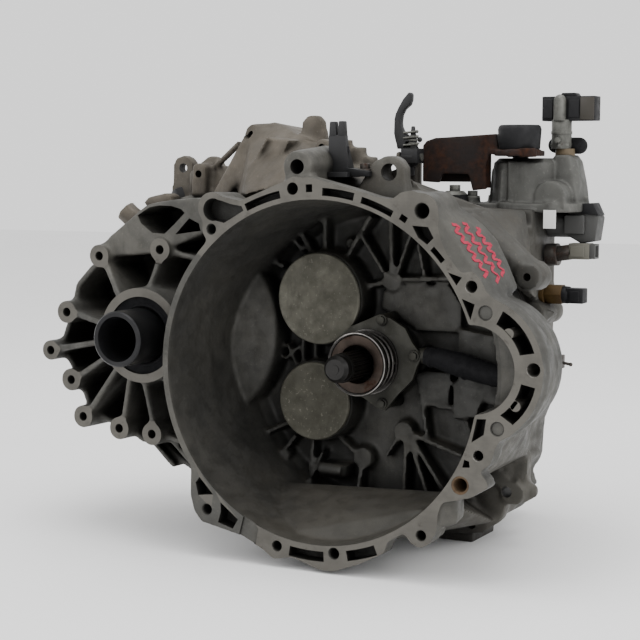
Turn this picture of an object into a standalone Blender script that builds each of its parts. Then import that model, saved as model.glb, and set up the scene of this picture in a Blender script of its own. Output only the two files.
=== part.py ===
"""Six-speed transaxle for a transverse engine: casings, three shafts, differential and shift gear.

Design frame: the input shaft's axis runs along +Y through the origin of the helpers below, Y = 0 is
the engine face of the bell housing, +Z is up.  Helper sizes are millimetres; every object is a child
of the empty "transaxle_origin", which puts the bottom centre of the whole part at the world origin.
"""
import math

import bmesh
import bpy
from mathutils import Matrix, Vector

MM = 0.001
WELD = 2e-6
TAU = 2 * math.pi
INPUT_AXIS_FROM_BASE = Vector((61.1, -168.0, 184.0))

# ---- gear train ----------------------------------------------------------------------------------
MODULE = 4.0
ADDENDUM = 0.92 * MODULE
DEDENDUM = 1.2 * MODULE
INPUT_TEETH = {"first": 10, "second": 14, "third": 19, "fourth": 22}
UPPER_TEETH = {"first": 31, "second": 27, "third": 22, "fourth": 19}
LOWER_TEETH = {"reverse": 24, "fifth": 19, "sixth": 16}
IDLER_TEETH = 18
RING_TEETH = 61
UPPER_PINION_TEETH = 15
LOWER_PINION_TEETH = 18
UPPER_SHAFT_ANGLE = math.radians(134.5)
LOWER_SHAFT_ANGLE = math.radians(215.0)

FINAL_DRIVE_Y = (176.0, 200.0)
FIRST_Y = (205.0, 218.0)
HUB_12_Y = (227.5, 241.5)
REVERSE_Y = (227.5, 240.0)
HUB_R_Y = (249.5, 262.0)
SECOND_Y = (251.0, 264.0)
THIRD_Y = (266.0, 279.0)
HUB_34_Y = (288.5, 302.5)
FOURTH_Y = (312.0, 325.0)
DOG_LENGTH = 9.0
SHAFT_R = 16.0
GEAR_BORE_R = 17.0
HUB_R = 27.0
SLEEVE_OUTER_R = 37.0
REAR_BEARING_Y = (329.0, 341.0)

# ---- casings -------------------------------------------------------------------------------------
BELL_R = 158.0
BELL_BACK_R = 146.0
WALL = 6.0
FLANGE_DEPTH = 15.0
FLANGE_R = 171.0
BELL_WALL_Y = (150.0, 156.0)
JOINT_Y = 170.0
CASE_BACK_Y = 352.0
STARTER = (153.0, 13.0)
STARTER_R = 39.0
CHAMBER_R = 137.0
DIFF_BORE_R = 38.0
DIFF_FACE_Y = 25.0
TURRET = (108.0, 230.0)


def meshing_centre(first, first_radius, second, second_radius, turn):
    """Point at the two given distances from two centres, to the left (turn 1) or right (-1)."""
    ax, az = first
    dx, dz = second[0] - ax, second[1] - az
    span = math.hypot(dx, dz)
    along = (first_radius ** 2 - second_radius ** 2 + span ** 2) / (2 * span)
    side = turn * math.sqrt(first_radius ** 2 - along ** 2)
    return ax + (along * dx - side * dz) / span, az + (along * dz + side * dx) / span


def centre_distance(teeth_a, teeth_b):
    return MODULE * (teeth_a + teeth_b) / 2


def polar(radius, angle, centre=(0.0, 0.0)):
    return centre[0] + radius * math.cos(angle), centre[1] + radius * math.sin(angle)


INPUT = (0.0, 0.0)
UPPER = polar(centre_distance(INPUT_TEETH["first"], UPPER_TEETH["first"]), UPPER_SHAFT_ANGLE)
LOWER = polar(centre_distance(INPUT_TEETH["third"], LOWER_TEETH["fifth"]), LOWER_SHAFT_ANGLE)
DIFF = meshing_centre(UPPER, centre_distance(UPPER_PINION_TEETH, RING_TEETH),
                      LOWER, centre_distance(LOWER_PINION_TEETH, RING_TEETH), -1)
IDLER = meshing_centre(INPUT, centre_distance(INPUT_TEETH["first"], IDLER_TEETH),
                       LOWER, centre_distance(LOWER_TEETH["reverse"], IDLER_TEETH), 1)
UPPER_RAIL = (24.0, 112.0)
LOWER_RAIL = (-12.0, -112.0)

MATERIALS = {
    "cast_aluminium": ((0.36, 0.35, 0.33), 0.62, 0.85),
    "cast_aluminium_case": ((0.40, 0.37, 0.33), 0.66, 0.8),
    "machined_steel": ((0.55, 0.55, 0.56), 0.3, 1.0),
    "gear_steel": ((0.34, 0.34, 0.36), 0.35, 1.0),
    "bearing_steel": ((0.7, 0.7, 0.72), 0.2, 1.0),
    "pressed_disc": ((0.46, 0.46, 0.45), 0.5, 0.8),
    "rusty_steel": ((0.19, 0.1, 0.06), 0.85, 0.4),
    "dark_steel": ((0.035, 0.035, 0.037), 0.5, 0.7),
    "black_plastic": ((0.02, 0.02, 0.022), 0.5, 0.0),
    "grey_plastic": ((0.2, 0.2, 0.2), 0.55, 0.0),
    "rubber": ((0.015, 0.015, 0.015), 0.85, 0.0),
    "brass": ((0.4, 0.27, 0.12), 0.5, 0.9),
}


# ---- helpers -------------------------------------------------------------------------------------
def clear_scene():
    for obj in list(bpy.data.objects):
        bpy.data.objects.remove(obj, do_unlink=True)


def new_collection(name):
    collection = bpy.data.collections.new(name)
    bpy.context.scene.collection.children.link(collection)
    return collection


def make_material(name):
    colour, roughness, metallic = MATERIALS[name]
    material = bpy.data.materials.get(name)
    if material is None:
        material = bpy.data.materials.new(name)
        material.use_nodes = True
        shader = material.node_tree.nodes["Principled BSDF"]
        shader.inputs["Base Color"].default_value = (*colour, 1.0)
        shader.inputs["Roughness"].default_value = roughness
        shader.inputs["Metallic"].default_value = metallic
    return material


def bmesh_object(build):
    """Object from a bmesh in design-frame millimetres; its faces are made to point outwards."""
    mesh = bpy.data.meshes.new("shape")
    bmesh.ops.remove_doubles(build, verts=build.verts, dist=0.01)
    bmesh.ops.recalc_face_normals(build, faces=build.faces)
    bmesh.ops.scale(build, vec=(MM, MM, MM), verts=build.verts)
    build.to_mesh(mesh)
    build.free()
    obj = bpy.data.objects.new("shape", mesh)
    bpy.context.scene.collection.objects.link(obj)
    return obj


def axis_turn(direction):
    """Rotation that takes +Z to the given direction."""
    return Vector((0, 0, 1)).rotation_difference(Vector(direction)).to_matrix().to_4x4()


def rod(start, end, radius, end_radius=None, sides=16):
    """Cylinder or cone between two points (x, y, z)."""
    start, end = Vector(start), Vector(end)
    along = end - start
    build = bmesh.new()
    place = Matrix.Translation((start + end) / 2) @ axis_turn(along)
    bmesh.ops.create_cone(build, cap_ends=True, segments=sides, radius1=radius,
                          radius2=radius if end_radius is None else end_radius,
                          depth=along.length, matrix=place)
    return bmesh_object(build)


def y_rod(centre, y_range, radius, end_radius=None, sides=16):
    """Cylinder along Y around (x, z)."""
    x, z = centre
    return rod((x, y_range[0], z), (x, y_range[1], z), radius, end_radius, sides)


def z_rod(centre, z_range, radius, end_radius=None, sides=16):
    """Cylinder along Z around (x, y)."""
    x, y = centre
    return rod((x, y, z_range[0]), (x, y, z_range[1]), radius, end_radius, sides)


def block(low, high):
    """Box between two corners."""
    low, high = Vector(low), Vector(high)
    size = high - low
    build = bmesh.new()
    place = Matrix.Translation((low + high) / 2) @ Matrix.Diagonal((*size, 1.0))
    bmesh.ops.create_cube(build, size=1.0, matrix=place)
    return bmesh_object(build)


def rib(start, end, y_range, thickness=5.0, end_y=None):
    """Upright web between two (x, z) points; end_y gives its Y range at the far end if it tapers."""
    start, end = Vector(start), Vector(end)
    side = (end - start).normalized().orthogonal() * thickness / 2
    build = bmesh.new()
    rings = []
    for point, span in ((start, y_range), (end, end_y or y_range)):
        corners = [(point + side, span[0]), (point - side, span[0]),
                   (point - side, span[1]), (point + side, span[1])]
        rings.append([build.verts.new((p.x, y, p.y)) for p, y in corners])
    build.faces.new(rings[0])
    build.faces.new(rings[1])
    for i in range(4):
        j = (i + 1) % 4
        build.faces.new((rings[0][i], rings[0][j], rings[1][j], rings[1][i]))
    return bmesh_object(build)


def turned(profile, centre, segments=48, closed=True):
    """Ring or disc from (radius, y) points turned about the Y axis through (x, z)."""
    build = bmesh.new()
    x, z = centre
    verts = [build.verts.new((x + r, y, z)) for r, y in profile]
    edges = [build.edges.new((verts[i], verts[i + 1])) for i in range(len(verts) - 1)]
    if closed:
        edges.append(build.edges.new((verts[-1], verts[0])))
    bmesh.ops.spin(build, geom=verts + edges, cent=(x, 0, z), axis=(0, 1, 0), angle=TAU,
                   steps=segments, use_duplicate=False)
    return bmesh_object(build)


def solid_turned(profile, centre, segments=32):
    """Shaft from (radius, y) points; its ends are closed on the axis."""
    ends = [(0.0, profile[0][1])] + list(profile) + [(0.0, profile[-1][1])]
    return turned(ends, centre, segments, closed=False)


def plate(outline, y_range, holes=()):
    """Flat outline of (x, z) points, extruded along Y; holes are outlines too."""
    curve = bpy.data.curves.new("plate", "CURVE")
    curve.dimensions = "2D"
    curve.fill_mode = "BOTH"
    curve.extrude = (y_range[1] - y_range[0]) / 2 * MM
    for points in (outline, *holes):
        spline = curve.splines.new("POLY")
        spline.points.add(len(points) - 1)
        for point, (x, z) in zip(spline.points, points):
            point.co = (x * MM, z * MM, 0.0, 1.0)
        spline.use_cyclic_u = True
    flat = bpy.data.objects.new("plate", curve)
    flat.location.y = (y_range[0] + y_range[1]) / 2 * MM
    flat.rotation_euler.x = math.pi / 2
    bpy.context.scene.collection.objects.link(flat)
    return as_mesh(flat)


def as_mesh(obj):
    """Bake an object's curve or modifiers into a welded mesh in the design frame."""
    bpy.context.view_layer.update()
    evaluated = obj.evaluated_get(bpy.context.evaluated_depsgraph_get())
    mesh = bpy.data.meshes.new_from_object(evaluated)
    mesh.transform(obj.matrix_world)
    build = bmesh.new()
    build.from_mesh(mesh)
    bmesh.ops.remove_doubles(build, verts=build.verts, dist=WELD)
    bmesh.ops.recalc_face_normals(build, faces=build.faces)
    build.to_mesh(mesh)
    build.free()
    bpy.data.objects.remove(obj, do_unlink=True)
    result = bpy.data.objects.new("shape", mesh)
    bpy.context.scene.collection.objects.link(result)
    return result


def welded(mesh):
    """Weld a mesh in place and say whether every edge then has exactly two faces."""
    build = bmesh.new()
    build.from_mesh(mesh)
    bmesh.ops.remove_doubles(build, verts=build.verts, dist=WELD)
    bmesh.ops.dissolve_degenerate(build, edges=build.edges, dist=WELD)
    closed = all(edge.is_manifold for edge in build.edges) and len(build.faces) > 3
    build.to_mesh(mesh)
    build.free()
    return closed


def combine(target, tools, operation):
    """Boolean of target with each tool in turn; the tools are used up."""
    for tool in tools:
        modifier = target.modifiers.new("boolean", "BOOLEAN")
        modifier.operation = operation
        modifier.object = tool
        for solver in ("EXACT", "MANIFOLD"):
            modifier.solver = solver
            bpy.context.view_layer.update()
            evaluated = target.evaluated_get(bpy.context.evaluated_depsgraph_get())
            mesh = bpy.data.meshes.new_from_object(evaluated)
            if welded(mesh):
                break
        target.modifiers.clear()
        target.data = mesh
        bpy.data.objects.remove(tool, do_unlink=True)
    return target


def join(target, *tools):
    return combine(target, tools, "UNION")


def cut(target, *tools):
    return combine(target, tools, "DIFFERENCE")


def node(obj, name, material, pivot=(0.0, 0.0, 0.0)):
    """Name a finished solid, give it its material and put its origin at the pivot."""
    place = Vector(pivot) * MM
    build = bmesh.new()
    build.from_mesh(obj.data)
    bmesh.ops.dissolve_limit(build, angle_limit=math.radians(4), verts=build.verts,
                             edges=build.edges)
    bmesh.ops.translate(build, vec=-place, verts=build.verts)
    build.to_mesh(obj.data)
    build.free()
    obj.location = place
    obj.parent = ORIGIN
    obj.name = name
    obj.data.name = name
    obj.data.materials.clear()
    obj.data.materials.append(make_material(material))
    obj.data.shade_smooth()
    obj.data.set_sharp_from_angle(angle=math.radians(35))
    bpy.context.scene.collection.objects.unlink(obj)
    PARTS.objects.link(obj)
    return obj


def arc(centre, radius, start_deg, end_deg, steps):
    """Points along an arc, both ends included."""
    angles = [math.radians(start_deg + (end_deg - start_deg) * i / steps) for i in range(steps + 1)]
    return [polar(radius, angle, centre) for angle in angles]


def circle(centre, radius, sides=24):
    return [polar(radius, TAU * i / sides, centre) for i in range(sides)]


# ---- gears ---------------------------------------------------------------------------------------
def gear_outline(teeth, phase=0.0, centre=(0.0, 0.0), module=MODULE):
    """Trapezoid teeth with running backlash; phase is the angle of one tooth's middle."""
    pitch_r = module * teeth / 2
    root_r = pitch_r - DEDENDUM * module / MODULE
    tip_r = pitch_r + ADDENDUM * module / MODULE
    step = TAU / teeth
    half_root = min(1.18 * module / pitch_r, 0.44 * step)
    half_tip = 0.3 * module / pitch_r
    points = []
    for i in range(teeth):
        middle = phase + i * step
        points.append(polar(root_r, middle - half_root, centre))
        points.append(polar(tip_r, middle - half_tip, centre))
        points.append(polar(tip_r, middle + half_tip, centre))
        points.append(polar(root_r, middle + half_root, centre))
    return points


def phase_in_mesh(centre_a, teeth_a, phase_a, centre_b, teeth_b):
    """Phase of gear b so that its teeth sit in the gaps of gear a."""
    line = math.atan2(centre_b[1] - centre_a[1], centre_b[0] - centre_a[0])
    part = (line - phase_a) * teeth_a / TAU
    return line + math.pi + (part - 0.5) * TAU / teeth_b


def loose_gear(teeth, phase, centre, teeth_y, dog_side):
    """Gear that runs free on its shaft, with the dog ring of its synchroniser on one face."""
    bore = circle(centre, GEAR_BORE_R, 12)
    body = plate(gear_outline(teeth, phase, centre), teeth_y, [bore])
    if dog_side > 0:
        dog_y = (teeth_y[1] - 1.0, teeth_y[1] + DOG_LENGTH)
    else:
        dog_y = (teeth_y[0] - DOG_LENGTH, teeth_y[0] + 1.0)
    ring = plate(circle(centre, HUB_R - 1.0, 16), dog_y, [circle(centre, GEAR_BORE_R, 12)])
    return join(body, ring)


def integral_gear(teeth, phase, centre, teeth_y):
    return plate(gear_outline(teeth, phase, centre), teeth_y)


def bearing(centre, y_range, inner_r, outer_r):
    """Ball bearing as one plain ring."""
    y0, y1 = y_range
    return turned([(inner_r, y0), (outer_r, y0), (outer_r, y1), (inner_r, y1)], centre, 18)


def make_input_shaft():
    profile = [(6.5, 40), (7.5, 41), (7.5, 54), (11.0, 55), (11.0, 100), (14.0, 102), (14.0, 327.5),
               (13.0, 328.5), (13.0, 342)]
    shaft = solid_turned(profile, INPUT, 16)
    join(shaft,
         integral_gear(INPUT_TEETH["first"], 0.0, INPUT, (FIRST_Y[0], REVERSE_Y[1])),
         integral_gear(INPUT_TEETH["second"], 0.0, INPUT, SECOND_Y))
    join(shaft, plate(gear_outline(10, module=2.2), (55.5, 98)))
    node(shaft, "input_shaft", "machined_steel")
    for name, speed, span in (("input_gear_third_fifth", "third", THIRD_Y),
                              ("input_gear_fourth_sixth", "fourth", FOURTH_Y)):
        outline = gear_outline(INPUT_TEETH[speed])
        node(plate(outline, span, [circle(INPUT, 14.3, 16)]), name, "gear_steel")


def layshaft(centre, pinion_teeth, pinion_phase, hubs):
    """Layshaft with its final-drive pinion and synchroniser hubs."""
    profile = [(15.5, 157), (15.5, 174), (SHAFT_R + 3, 175), (SHAFT_R + 3, 203.5), (SHAFT_R, 204),
               (SHAFT_R, 327.5), (13.0, 328.5), (13.0, 342)]
    shaft = solid_turned(profile, centre, 16)
    join(shaft, integral_gear(pinion_teeth, pinion_phase, centre, FINAL_DRIVE_Y))
    for span in hubs:
        join(shaft, y_rod(centre, span, HUB_R, sides=16))
    return shaft


def synchro_sleeve(centre, hub_y):
    """Sliding sleeve with the groove that its fork runs in."""
    middle = (hub_y[0] + hub_y[1]) / 2
    profile = [(HUB_R + 1.0, hub_y[0]), (SLEEVE_OUTER_R, hub_y[0]), (SLEEVE_OUTER_R, middle - 3),
               (SLEEVE_OUTER_R - 5, middle - 3), (SLEEVE_OUTER_R - 5, middle + 3),
               (SLEEVE_OUTER_R, middle + 3), (SLEEVE_OUTER_R, hub_y[1]), (HUB_R + 1.0, hub_y[1])]
    return turned(profile, centre, 16)


def make_layshafts():
    ring_phase = 0.0
    upper_phase = phase_in_mesh(DIFF, RING_TEETH, ring_phase, UPPER, UPPER_PINION_TEETH)
    lower_phase = phase_in_mesh(DIFF, RING_TEETH, ring_phase, LOWER, LOWER_PINION_TEETH)
    upper = layshaft(UPPER, UPPER_PINION_TEETH, upper_phase, (HUB_12_Y, HUB_34_Y))
    node(upper, "upper_shaft", "machined_steel", (UPPER[0], 0, UPPER[1]))
    lower = layshaft(LOWER, LOWER_PINION_TEETH, lower_phase, (HUB_R_Y, HUB_34_Y))
    node(lower, "lower_shaft", "machined_steel", (LOWER[0], 0, LOWER[1]))
    for speed, span, side in (("first", FIRST_Y, 1), ("second", SECOND_Y, -1),
                              ("third", THIRD_Y, 1), ("fourth", FOURTH_Y, -1)):
        phase = phase_in_mesh(INPUT, INPUT_TEETH[speed], 0.0, UPPER, UPPER_TEETH[speed])
        gear = loose_gear(UPPER_TEETH[speed], phase, UPPER, span, side)
        node(gear, f"{speed}_gear", "gear_steel", (UPPER[0], 0, UPPER[1]))
    for speed, twin, span, side in (("fifth", "third", THIRD_Y, 1), ("sixth", "fourth", FOURTH_Y, -1)):
        phase = phase_in_mesh(INPUT, INPUT_TEETH[twin], 0.0, LOWER, LOWER_TEETH[speed])
        gear = loose_gear(LOWER_TEETH[speed], phase, LOWER, span, side)
        node(gear, f"{speed}_gear", "gear_steel", (LOWER[0], 0, LOWER[1]))
    idler_phase = phase_in_mesh(INPUT, INPUT_TEETH["first"], 0.0, IDLER, IDLER_TEETH)
    idler = plate(gear_outline(IDLER_TEETH, idler_phase, IDLER), REVERSE_Y, [circle(IDLER, 10.6, 16)])
    node(idler, "reverse_idler", "gear_steel", (IDLER[0], 0, IDLER[1]))
    reverse_phase = phase_in_mesh(IDLER, IDLER_TEETH, idler_phase, LOWER, LOWER_TEETH["reverse"])
    reverse = loose_gear(LOWER_TEETH["reverse"], reverse_phase, LOWER, REVERSE_Y, 1)
    node(reverse, "reverse_gear", "gear_steel", (LOWER[0], 0, LOWER[1]))
    axle = y_rod(IDLER, (171.0, 249.7), 10.0, sides=16)
    node(axle, "reverse_idler_shaft", "machined_steel", (IDLER[0], 0, IDLER[1]))
    for name, centre, hub in (("sleeve_first_second", UPPER, HUB_12_Y),
                              ("sleeve_third_fourth", UPPER, HUB_34_Y),
                              ("sleeve_fifth_sixth", LOWER, HUB_34_Y),
                              ("sleeve_reverse", LOWER, HUB_R_Y)):
        node(synchro_sleeve(centre, hub), name, "gear_steel", (centre[0], 0, centre[1]))


# ---- differential --------------------------------------------------------------------------------
PLANET_TEETH = 8
SIDE_TEETH = 12
BEVEL_CONE = 50.0
BEVEL_FACE = 14.0
DIFF_MIDDLE_Y = 216.0


def bevel_gear(teeth, other_teeth, phase, axis, up, bore_r):
    """Straight bevel gear whose teeth taper to the apex, the middle of the differential."""
    cone_angle = math.atan2(teeth, other_teeth)
    heel_r = BEVEL_CONE * math.sin(cone_angle)
    heel_height = BEVEL_CONE * math.cos(cone_angle)
    toe_scale = 1 - BEVEL_FACE / BEVEL_CONE
    outline = gear_outline(teeth, phase, module=1.55 * heel_r / teeth)
    build = bmesh.new()
    across = Vector(up).cross(Vector(axis))
    apex = Vector((DIFF[0], DIFF_MIDDLE_Y, DIFF[1]))
    rings = []
    bores = []
    for scale in (1.0, toe_scale):
        base = apex + Vector(axis) * heel_height * scale
        rings.append([build.verts.new(base + (Vector(up) * v + across * u) * scale * 1.18)
                      for u, v in outline])
        bores.append([build.verts.new(base + Vector(up) * v + across * u)
                      for u, v in circle((0, 0), bore_r, len(outline))])
    count = len(outline)
    for i in range(count):
        j = (i + 1) % count
        build.faces.new((rings[0][i], rings[0][j], rings[1][j], rings[1][i]))
        build.faces.new((bores[0][i], bores[0][j], bores[1][j], bores[1][i]))
        for ring, hole in zip(rings, bores):
            build.faces.new((ring[i], ring[j], hole[j], hole[i]))
    return bmesh_object(build)


def make_differential():
    centre = (DIFF[0], 0, DIFF[1])
    ring = plate(gear_outline(RING_TEETH, 0.0, DIFF), FINAL_DRIVE_Y, [circle(DIFF, 66.0, 20)])
    node(ring, "ring_gear", "gear_steel", centre)
    profile = [(14.5, 150), (22.5, 150), (22.5, 171), (64, 176), (64, 200.5), (80, 200.5), (80, 208),
               (62, 208), (62, 254), (22.5, 264), (22.5, 290), (14.5, 290), (14.5, 262), (56, 248),
               (56, 184), (14.5, 176)]
    carrier = turned(profile, DIFF, 20)
    windows = [block((DIFF[0] - 90, 210, DIFF[1] - 26), (DIFF[0] + 90, 240, DIFF[1] + 26))]
    cut(carrier, *windows)
    pin_hole = rod((DIFF[0], DIFF_MIDDLE_Y, DIFF[1] - 70), (DIFF[0], DIFF_MIDDLE_Y, DIFF[1] + 70), 8.3)
    cut(carrier, pin_hole)
    node(carrier, "diff_carrier", "gear_steel", centre)
    middle = (DIFF[0], DIFF_MIDDLE_Y, DIFF[1])
    pin = rod((DIFF[0], DIFF_MIDDLE_Y, DIFF[1] - 61), (DIFF[0], DIFF_MIDDLE_Y, DIFF[1] + 61), 8.0)
    node(pin, "cross_pin", "machined_steel", middle)
    half_planet = math.pi / PLANET_TEETH
    for name, direction in (("planet_gear_top", 1), ("planet_gear_bottom", -1)):
        gear = bevel_gear(PLANET_TEETH, SIDE_TEETH, half_planet, (0, 0, direction), (0, 1, 0), 8.4)
        node(gear, name, "gear_steel", middle)
    for name, direction in (("side_gear_front", -1), ("side_gear_rear", 1)):
        gear = bevel_gear(SIDE_TEETH, PLANET_TEETH, 0.0, (0, direction, 0), (0, 0, 1), 12.0)
        node(gear, name, "gear_steel", middle)
    sleeve = [(23.2, -16), (26.0, -16), (27.0, -14.5), (27.0, 168), (23.2, 168)]
    node(turned(sleeve, DIFF, 24), "output_sleeve", "dark_steel", centre)
    seal = [(27.4, 29), (37.6, 29), (37.6, 37), (27.4, 37)]
    node(turned(seal, DIFF, 20), "output_seal", "rubber", centre)


# ---- bearings ------------------------------------------------------------------------------------
FRONT_BEARING_Y = (158.0, 169.0)
FRONT_BEARING_R = 30.0
REAR_BEARING_R = 25.0
DIFF_FRONT_BEARING = ((140.0, 156.0), 28.0, 38.0)
DIFF_REAR_BEARING_Y = (272.0, 286.0)
DIFF_REAR_BEARING_R = 37.0


def make_bearings():
    for name, centre, journal in (("input", INPUT, 14.0), ("upper", UPPER, 15.5), ("lower", LOWER, 15.5)):
        front = bearing(centre, FRONT_BEARING_Y, journal + 0.3, FRONT_BEARING_R)
        node(front, f"{name}_front_bearing", "bearing_steel", (centre[0], 0, centre[1]))
        rear = bearing(centre, REAR_BEARING_Y, 13.3, REAR_BEARING_R)
        node(rear, f"{name}_rear_bearing", "bearing_steel", (centre[0], 0, centre[1]))
    span, inner, outer = DIFF_FRONT_BEARING
    node(bearing(DIFF, span, inner, outer - 0.3), "diff_front_bearing", "bearing_steel",
         (DIFF[0], 0, DIFF[1]))
    node(bearing(DIFF, DIFF_REAR_BEARING_Y, 23.2, DIFF_REAR_BEARING_R), "diff_rear_bearing",
         "bearing_steel", (DIFF[0], 0, DIFF[1]))


# ---- bell housing --------------------------------------------------------------------------------
UPPER_CAP_R = 45.0
LOWER_CAP_R = 39.0
CAP_Y = (117.0, 120.0)
# flange bosses: angle in degrees, distance from the input axis, boss radius, hole radius
FLANGE_BOSSES = [(130, 171, 12, 4.5), (98, 172, 11, 4.5), (55, 181, 13, 6.5), (29, 173, 12, 5.5),
                 (-12, 178, 10, 4.5), (-32, 168, 12, 7.0), (-53, 172, 11, 4.5), (-83, 168, 11, 4.5),
                 (-104, 168, 11, 4.5), (-131, 176, 13, 5.5), (5, 209, 12, 5.0)]
# bosses round the differential cover: x, z, front face y
COVER_BOSSES = [(-332, 0), (-311, 40), (-307, -29), (-293, -66), (-249, -75), (-210, -78),
                (-270, 98), (-198, 106)]
COVER_BOSS_Y = 50.0


def joint_outline(grow=0.0):
    """Outline of the joint between bell housing and gear case, as (x, z) points."""
    points = arc(DIFF, CHAMBER_R + grow, 78, 262, 14)
    corner = 24.0 + grow
    for x, z, start, end in ((-96, -150, 215, 270), (96, -142, 270, 350), (118, 34, -10, 20),
                             (70, 127, 30, 95), (-150, 160, 95, 170)):
        points += arc((x, z), corner, start, end, 3)
    return points


def bell_shell():
    """Bell, its flange and its back wall, turned as one open cup."""
    profile = [(BELL_R, 0), (FLANGE_R, 0), (FLANGE_R, FLANGE_DEPTH), (BELL_R + WALL, FLANGE_DEPTH + 3),
               (BELL_BACK_R + WALL, BELL_WALL_Y[1]), (15.0, BELL_WALL_Y[1]), (15.0, BELL_WALL_Y[0]),
               (BELL_BACK_R - 8, BELL_WALL_Y[0]), (BELL_BACK_R, BELL_WALL_Y[0] - 10)]
    return turned(profile, INPUT, 32)


def add_starter_lobe(bell):
    lobe = y_rod(STARTER, (0, 62), STARTER_R + 24, sides=20)
    join(bell, lobe)
    cut(bell, y_rod(STARTER, (-5, 56), STARTER_R, sides=16))
    opening = y_rod(INPUT, (-5, 66), BELL_R - 1.0, BELL_BACK_R + 6.0, sides=32)
    cut(bell, opening)


def add_shaft_seats(bell):
    """Bosses in the bell that close and carry the front bearings."""
    for centre, cap_r in ((UPPER, UPPER_CAP_R), (LOWER, LOWER_CAP_R)):
        join(bell, y_rod(centre, (CAP_Y[1] + 0.3, BELL_WALL_Y[1]), cap_r, cap_r + 2, sides=20))
        cut(bell, y_rod(centre, (CAP_Y[1] - 2, BELL_WALL_Y[1] + 2), cap_r - 12, sides=12))
    join(bell, y_rod(INPUT, (BELL_WALL_Y[1] - 2, JOINT_Y), FRONT_BEARING_R + 7, sides=16))
    for centre in (UPPER, LOWER):
        join(bell, turned([(FRONT_BEARING_R - 1, 155), (FRONT_BEARING_R + 7, 155),
                           (FRONT_BEARING_R + 7, JOINT_Y), (FRONT_BEARING_R - 1, JOINT_Y)],
                          centre, 16))
        cut(bell, y_rod(centre, (157.5, JOINT_Y + 1), FRONT_BEARING_R + 0.8, sides=16))
    cut(bell, y_rod(INPUT, (157.5, JOINT_Y + 1), FRONT_BEARING_R + 0.8, sides=16),
        y_rod(INPUT, (140, 160), 16.0, sides=12))


def add_inner_ribs(bell):
    """Radial ribs that tie the shaft bosses to the bell wall."""
    for centre, radius, angles in ((UPPER, UPPER_CAP_R, (95,)), (LOWER, LOWER_CAP_R, (250,))):
        for angle in angles:
            start = polar(radius - 6, math.radians(angle), centre)
            direction = math.radians(angle)
            end = polar(BELL_BACK_R * 0.98 - math.hypot(*centre) * 0.4, direction, centre)
            join(bell, rib(start, end, (126, 152), 5, (140, 152)))
    for angle in (-70, -30, 35, 82):
        start = polar(36, math.radians(angle))
        end = polar(BELL_BACK_R - 2, math.radians(angle))
        join(bell, rib(start, end, (142, 152), 5, (128, 152)))


def cover_web_y(distance):
    """Front face of the cover's web at a distance from the differential's axis."""
    if distance < CHAMBER_R - 30:
        return 110 + (distance - DIFF_BORE_R - 13) * 18 / (CHAMBER_R - 30 - DIFF_BORE_R - 13)
    return 128 + distance - (CHAMBER_R - 30)


def differential_cover():
    x, z = DIFF
    cover = turned([(DIFF_BORE_R - 1, DIFF_FACE_Y), (DIFF_BORE_R + 8, DIFF_FACE_Y),
                    (DIFF_BORE_R + 13, 110), (CHAMBER_R - 30, 128), (CHAMBER_R, 158),
                    (CHAMBER_R, JOINT_Y), (CHAMBER_R - 7, JOINT_Y), (CHAMBER_R - 7, 160),
                    (CHAMBER_R - 34, 136), (DIFF_BORE_R + 6, 130), (DIFF_BORE_R + 5, 160),
                    (DIFF_BORE_R - 1, 160)], DIFF, 24)
    for boss_x, boss_z in COVER_BOSSES:
        direction = math.atan2(boss_z - z, boss_x - x)
        distance = math.hypot(boss_z - z, boss_x - x)
        near = polar(DIFF_BORE_R + 2, direction, DIFF)
        join(cover, rib(near, (boss_x, boss_z), (DIFF_FACE_Y + 6, 120), 6,
                        (COVER_BOSS_Y + 4, cover_web_y(distance) - 2)))
        join(cover, y_rod((boss_x, boss_z), (COVER_BOSS_Y, cover_web_y(distance) + 6), 10.5, 12, sides=6))
    for boss in COVER_BOSSES:
        cut(cover, y_rod(boss, (COVER_BOSS_Y - 2, COVER_BOSS_Y + 26), 4.2, sides=6))
    return cover


def add_cover_tie_ribs(bell):
    """Ribs between the differential cover and the outside of the bell."""
    for start, end, front in (((-198, 106), (-120, 118), 60), ((-190, 70), (-140, 76), 70),
                              ((-210, -78), (-128, -108), 60)):
        join(bell, rib(start, end, (front, 160), 7))
    join(bell, rib((-160, 23), (-150, 22), (52, 160), 30))
    join(bell, block((-14, 44, 150), (28, 72, 177.7)))


def cut_bell_bores(bell):
    cut(bell, y_rod(DIFF, (DIFF_FACE_Y - 2, 141), DIFF_BORE_R, sides=24),
        y_rod(DIFF, (130, 163), DIFF_BORE_R, sides=24))
    for angle, distance, _, hole in FLANGE_BOSSES:
        cut(bell, y_rod(polar(distance, math.radians(angle)), (-2, 40), hole, sides=6))


def make_bell_housing():
    bell = bell_shell()
    add_starter_lobe(bell)
    for angle, distance, boss, _ in FLANGE_BOSSES:
        centre = polar(distance, math.radians(angle))
        join(bell, y_rod(centre, (0, 36), boss, sides=8))
    for boss, neighbour in (((-133, -108), (-124, -140)), ((85, -139), (117, -136))):
        join(bell, rib(boss, neighbour, (0, 18), 12))
    joint = plate(joint_outline(), (158, JOINT_Y), [joint_outline(-9.0)])
    wall = plate(joint_outline(-1.0), (150, 158.5), [circle(DIFF, CHAMBER_R - 12, 24)])
    join(bell, joint, wall, differential_cover())
    chamber = turned([(DIFF_BORE_R + 5.2, JOINT_Y + 1), (DIFF_BORE_R + 6.2, 130.5),
                      (CHAMBER_R - 34, 136.5), (CHAMBER_R - 7, 160), (CHAMBER_R - 7, JOINT_Y + 1)],
                     DIFF, 24)
    cut(bell, chamber)
    add_shaft_seats(bell)
    add_inner_ribs(bell)
    add_cover_tie_ribs(bell)
    cut_bell_bores(bell)
    node(bell, "bell_housing", "cast_aluminium")


# ---- gear case -----------------------------------------------------------------------------------
STEP_Y = 258.0


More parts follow.
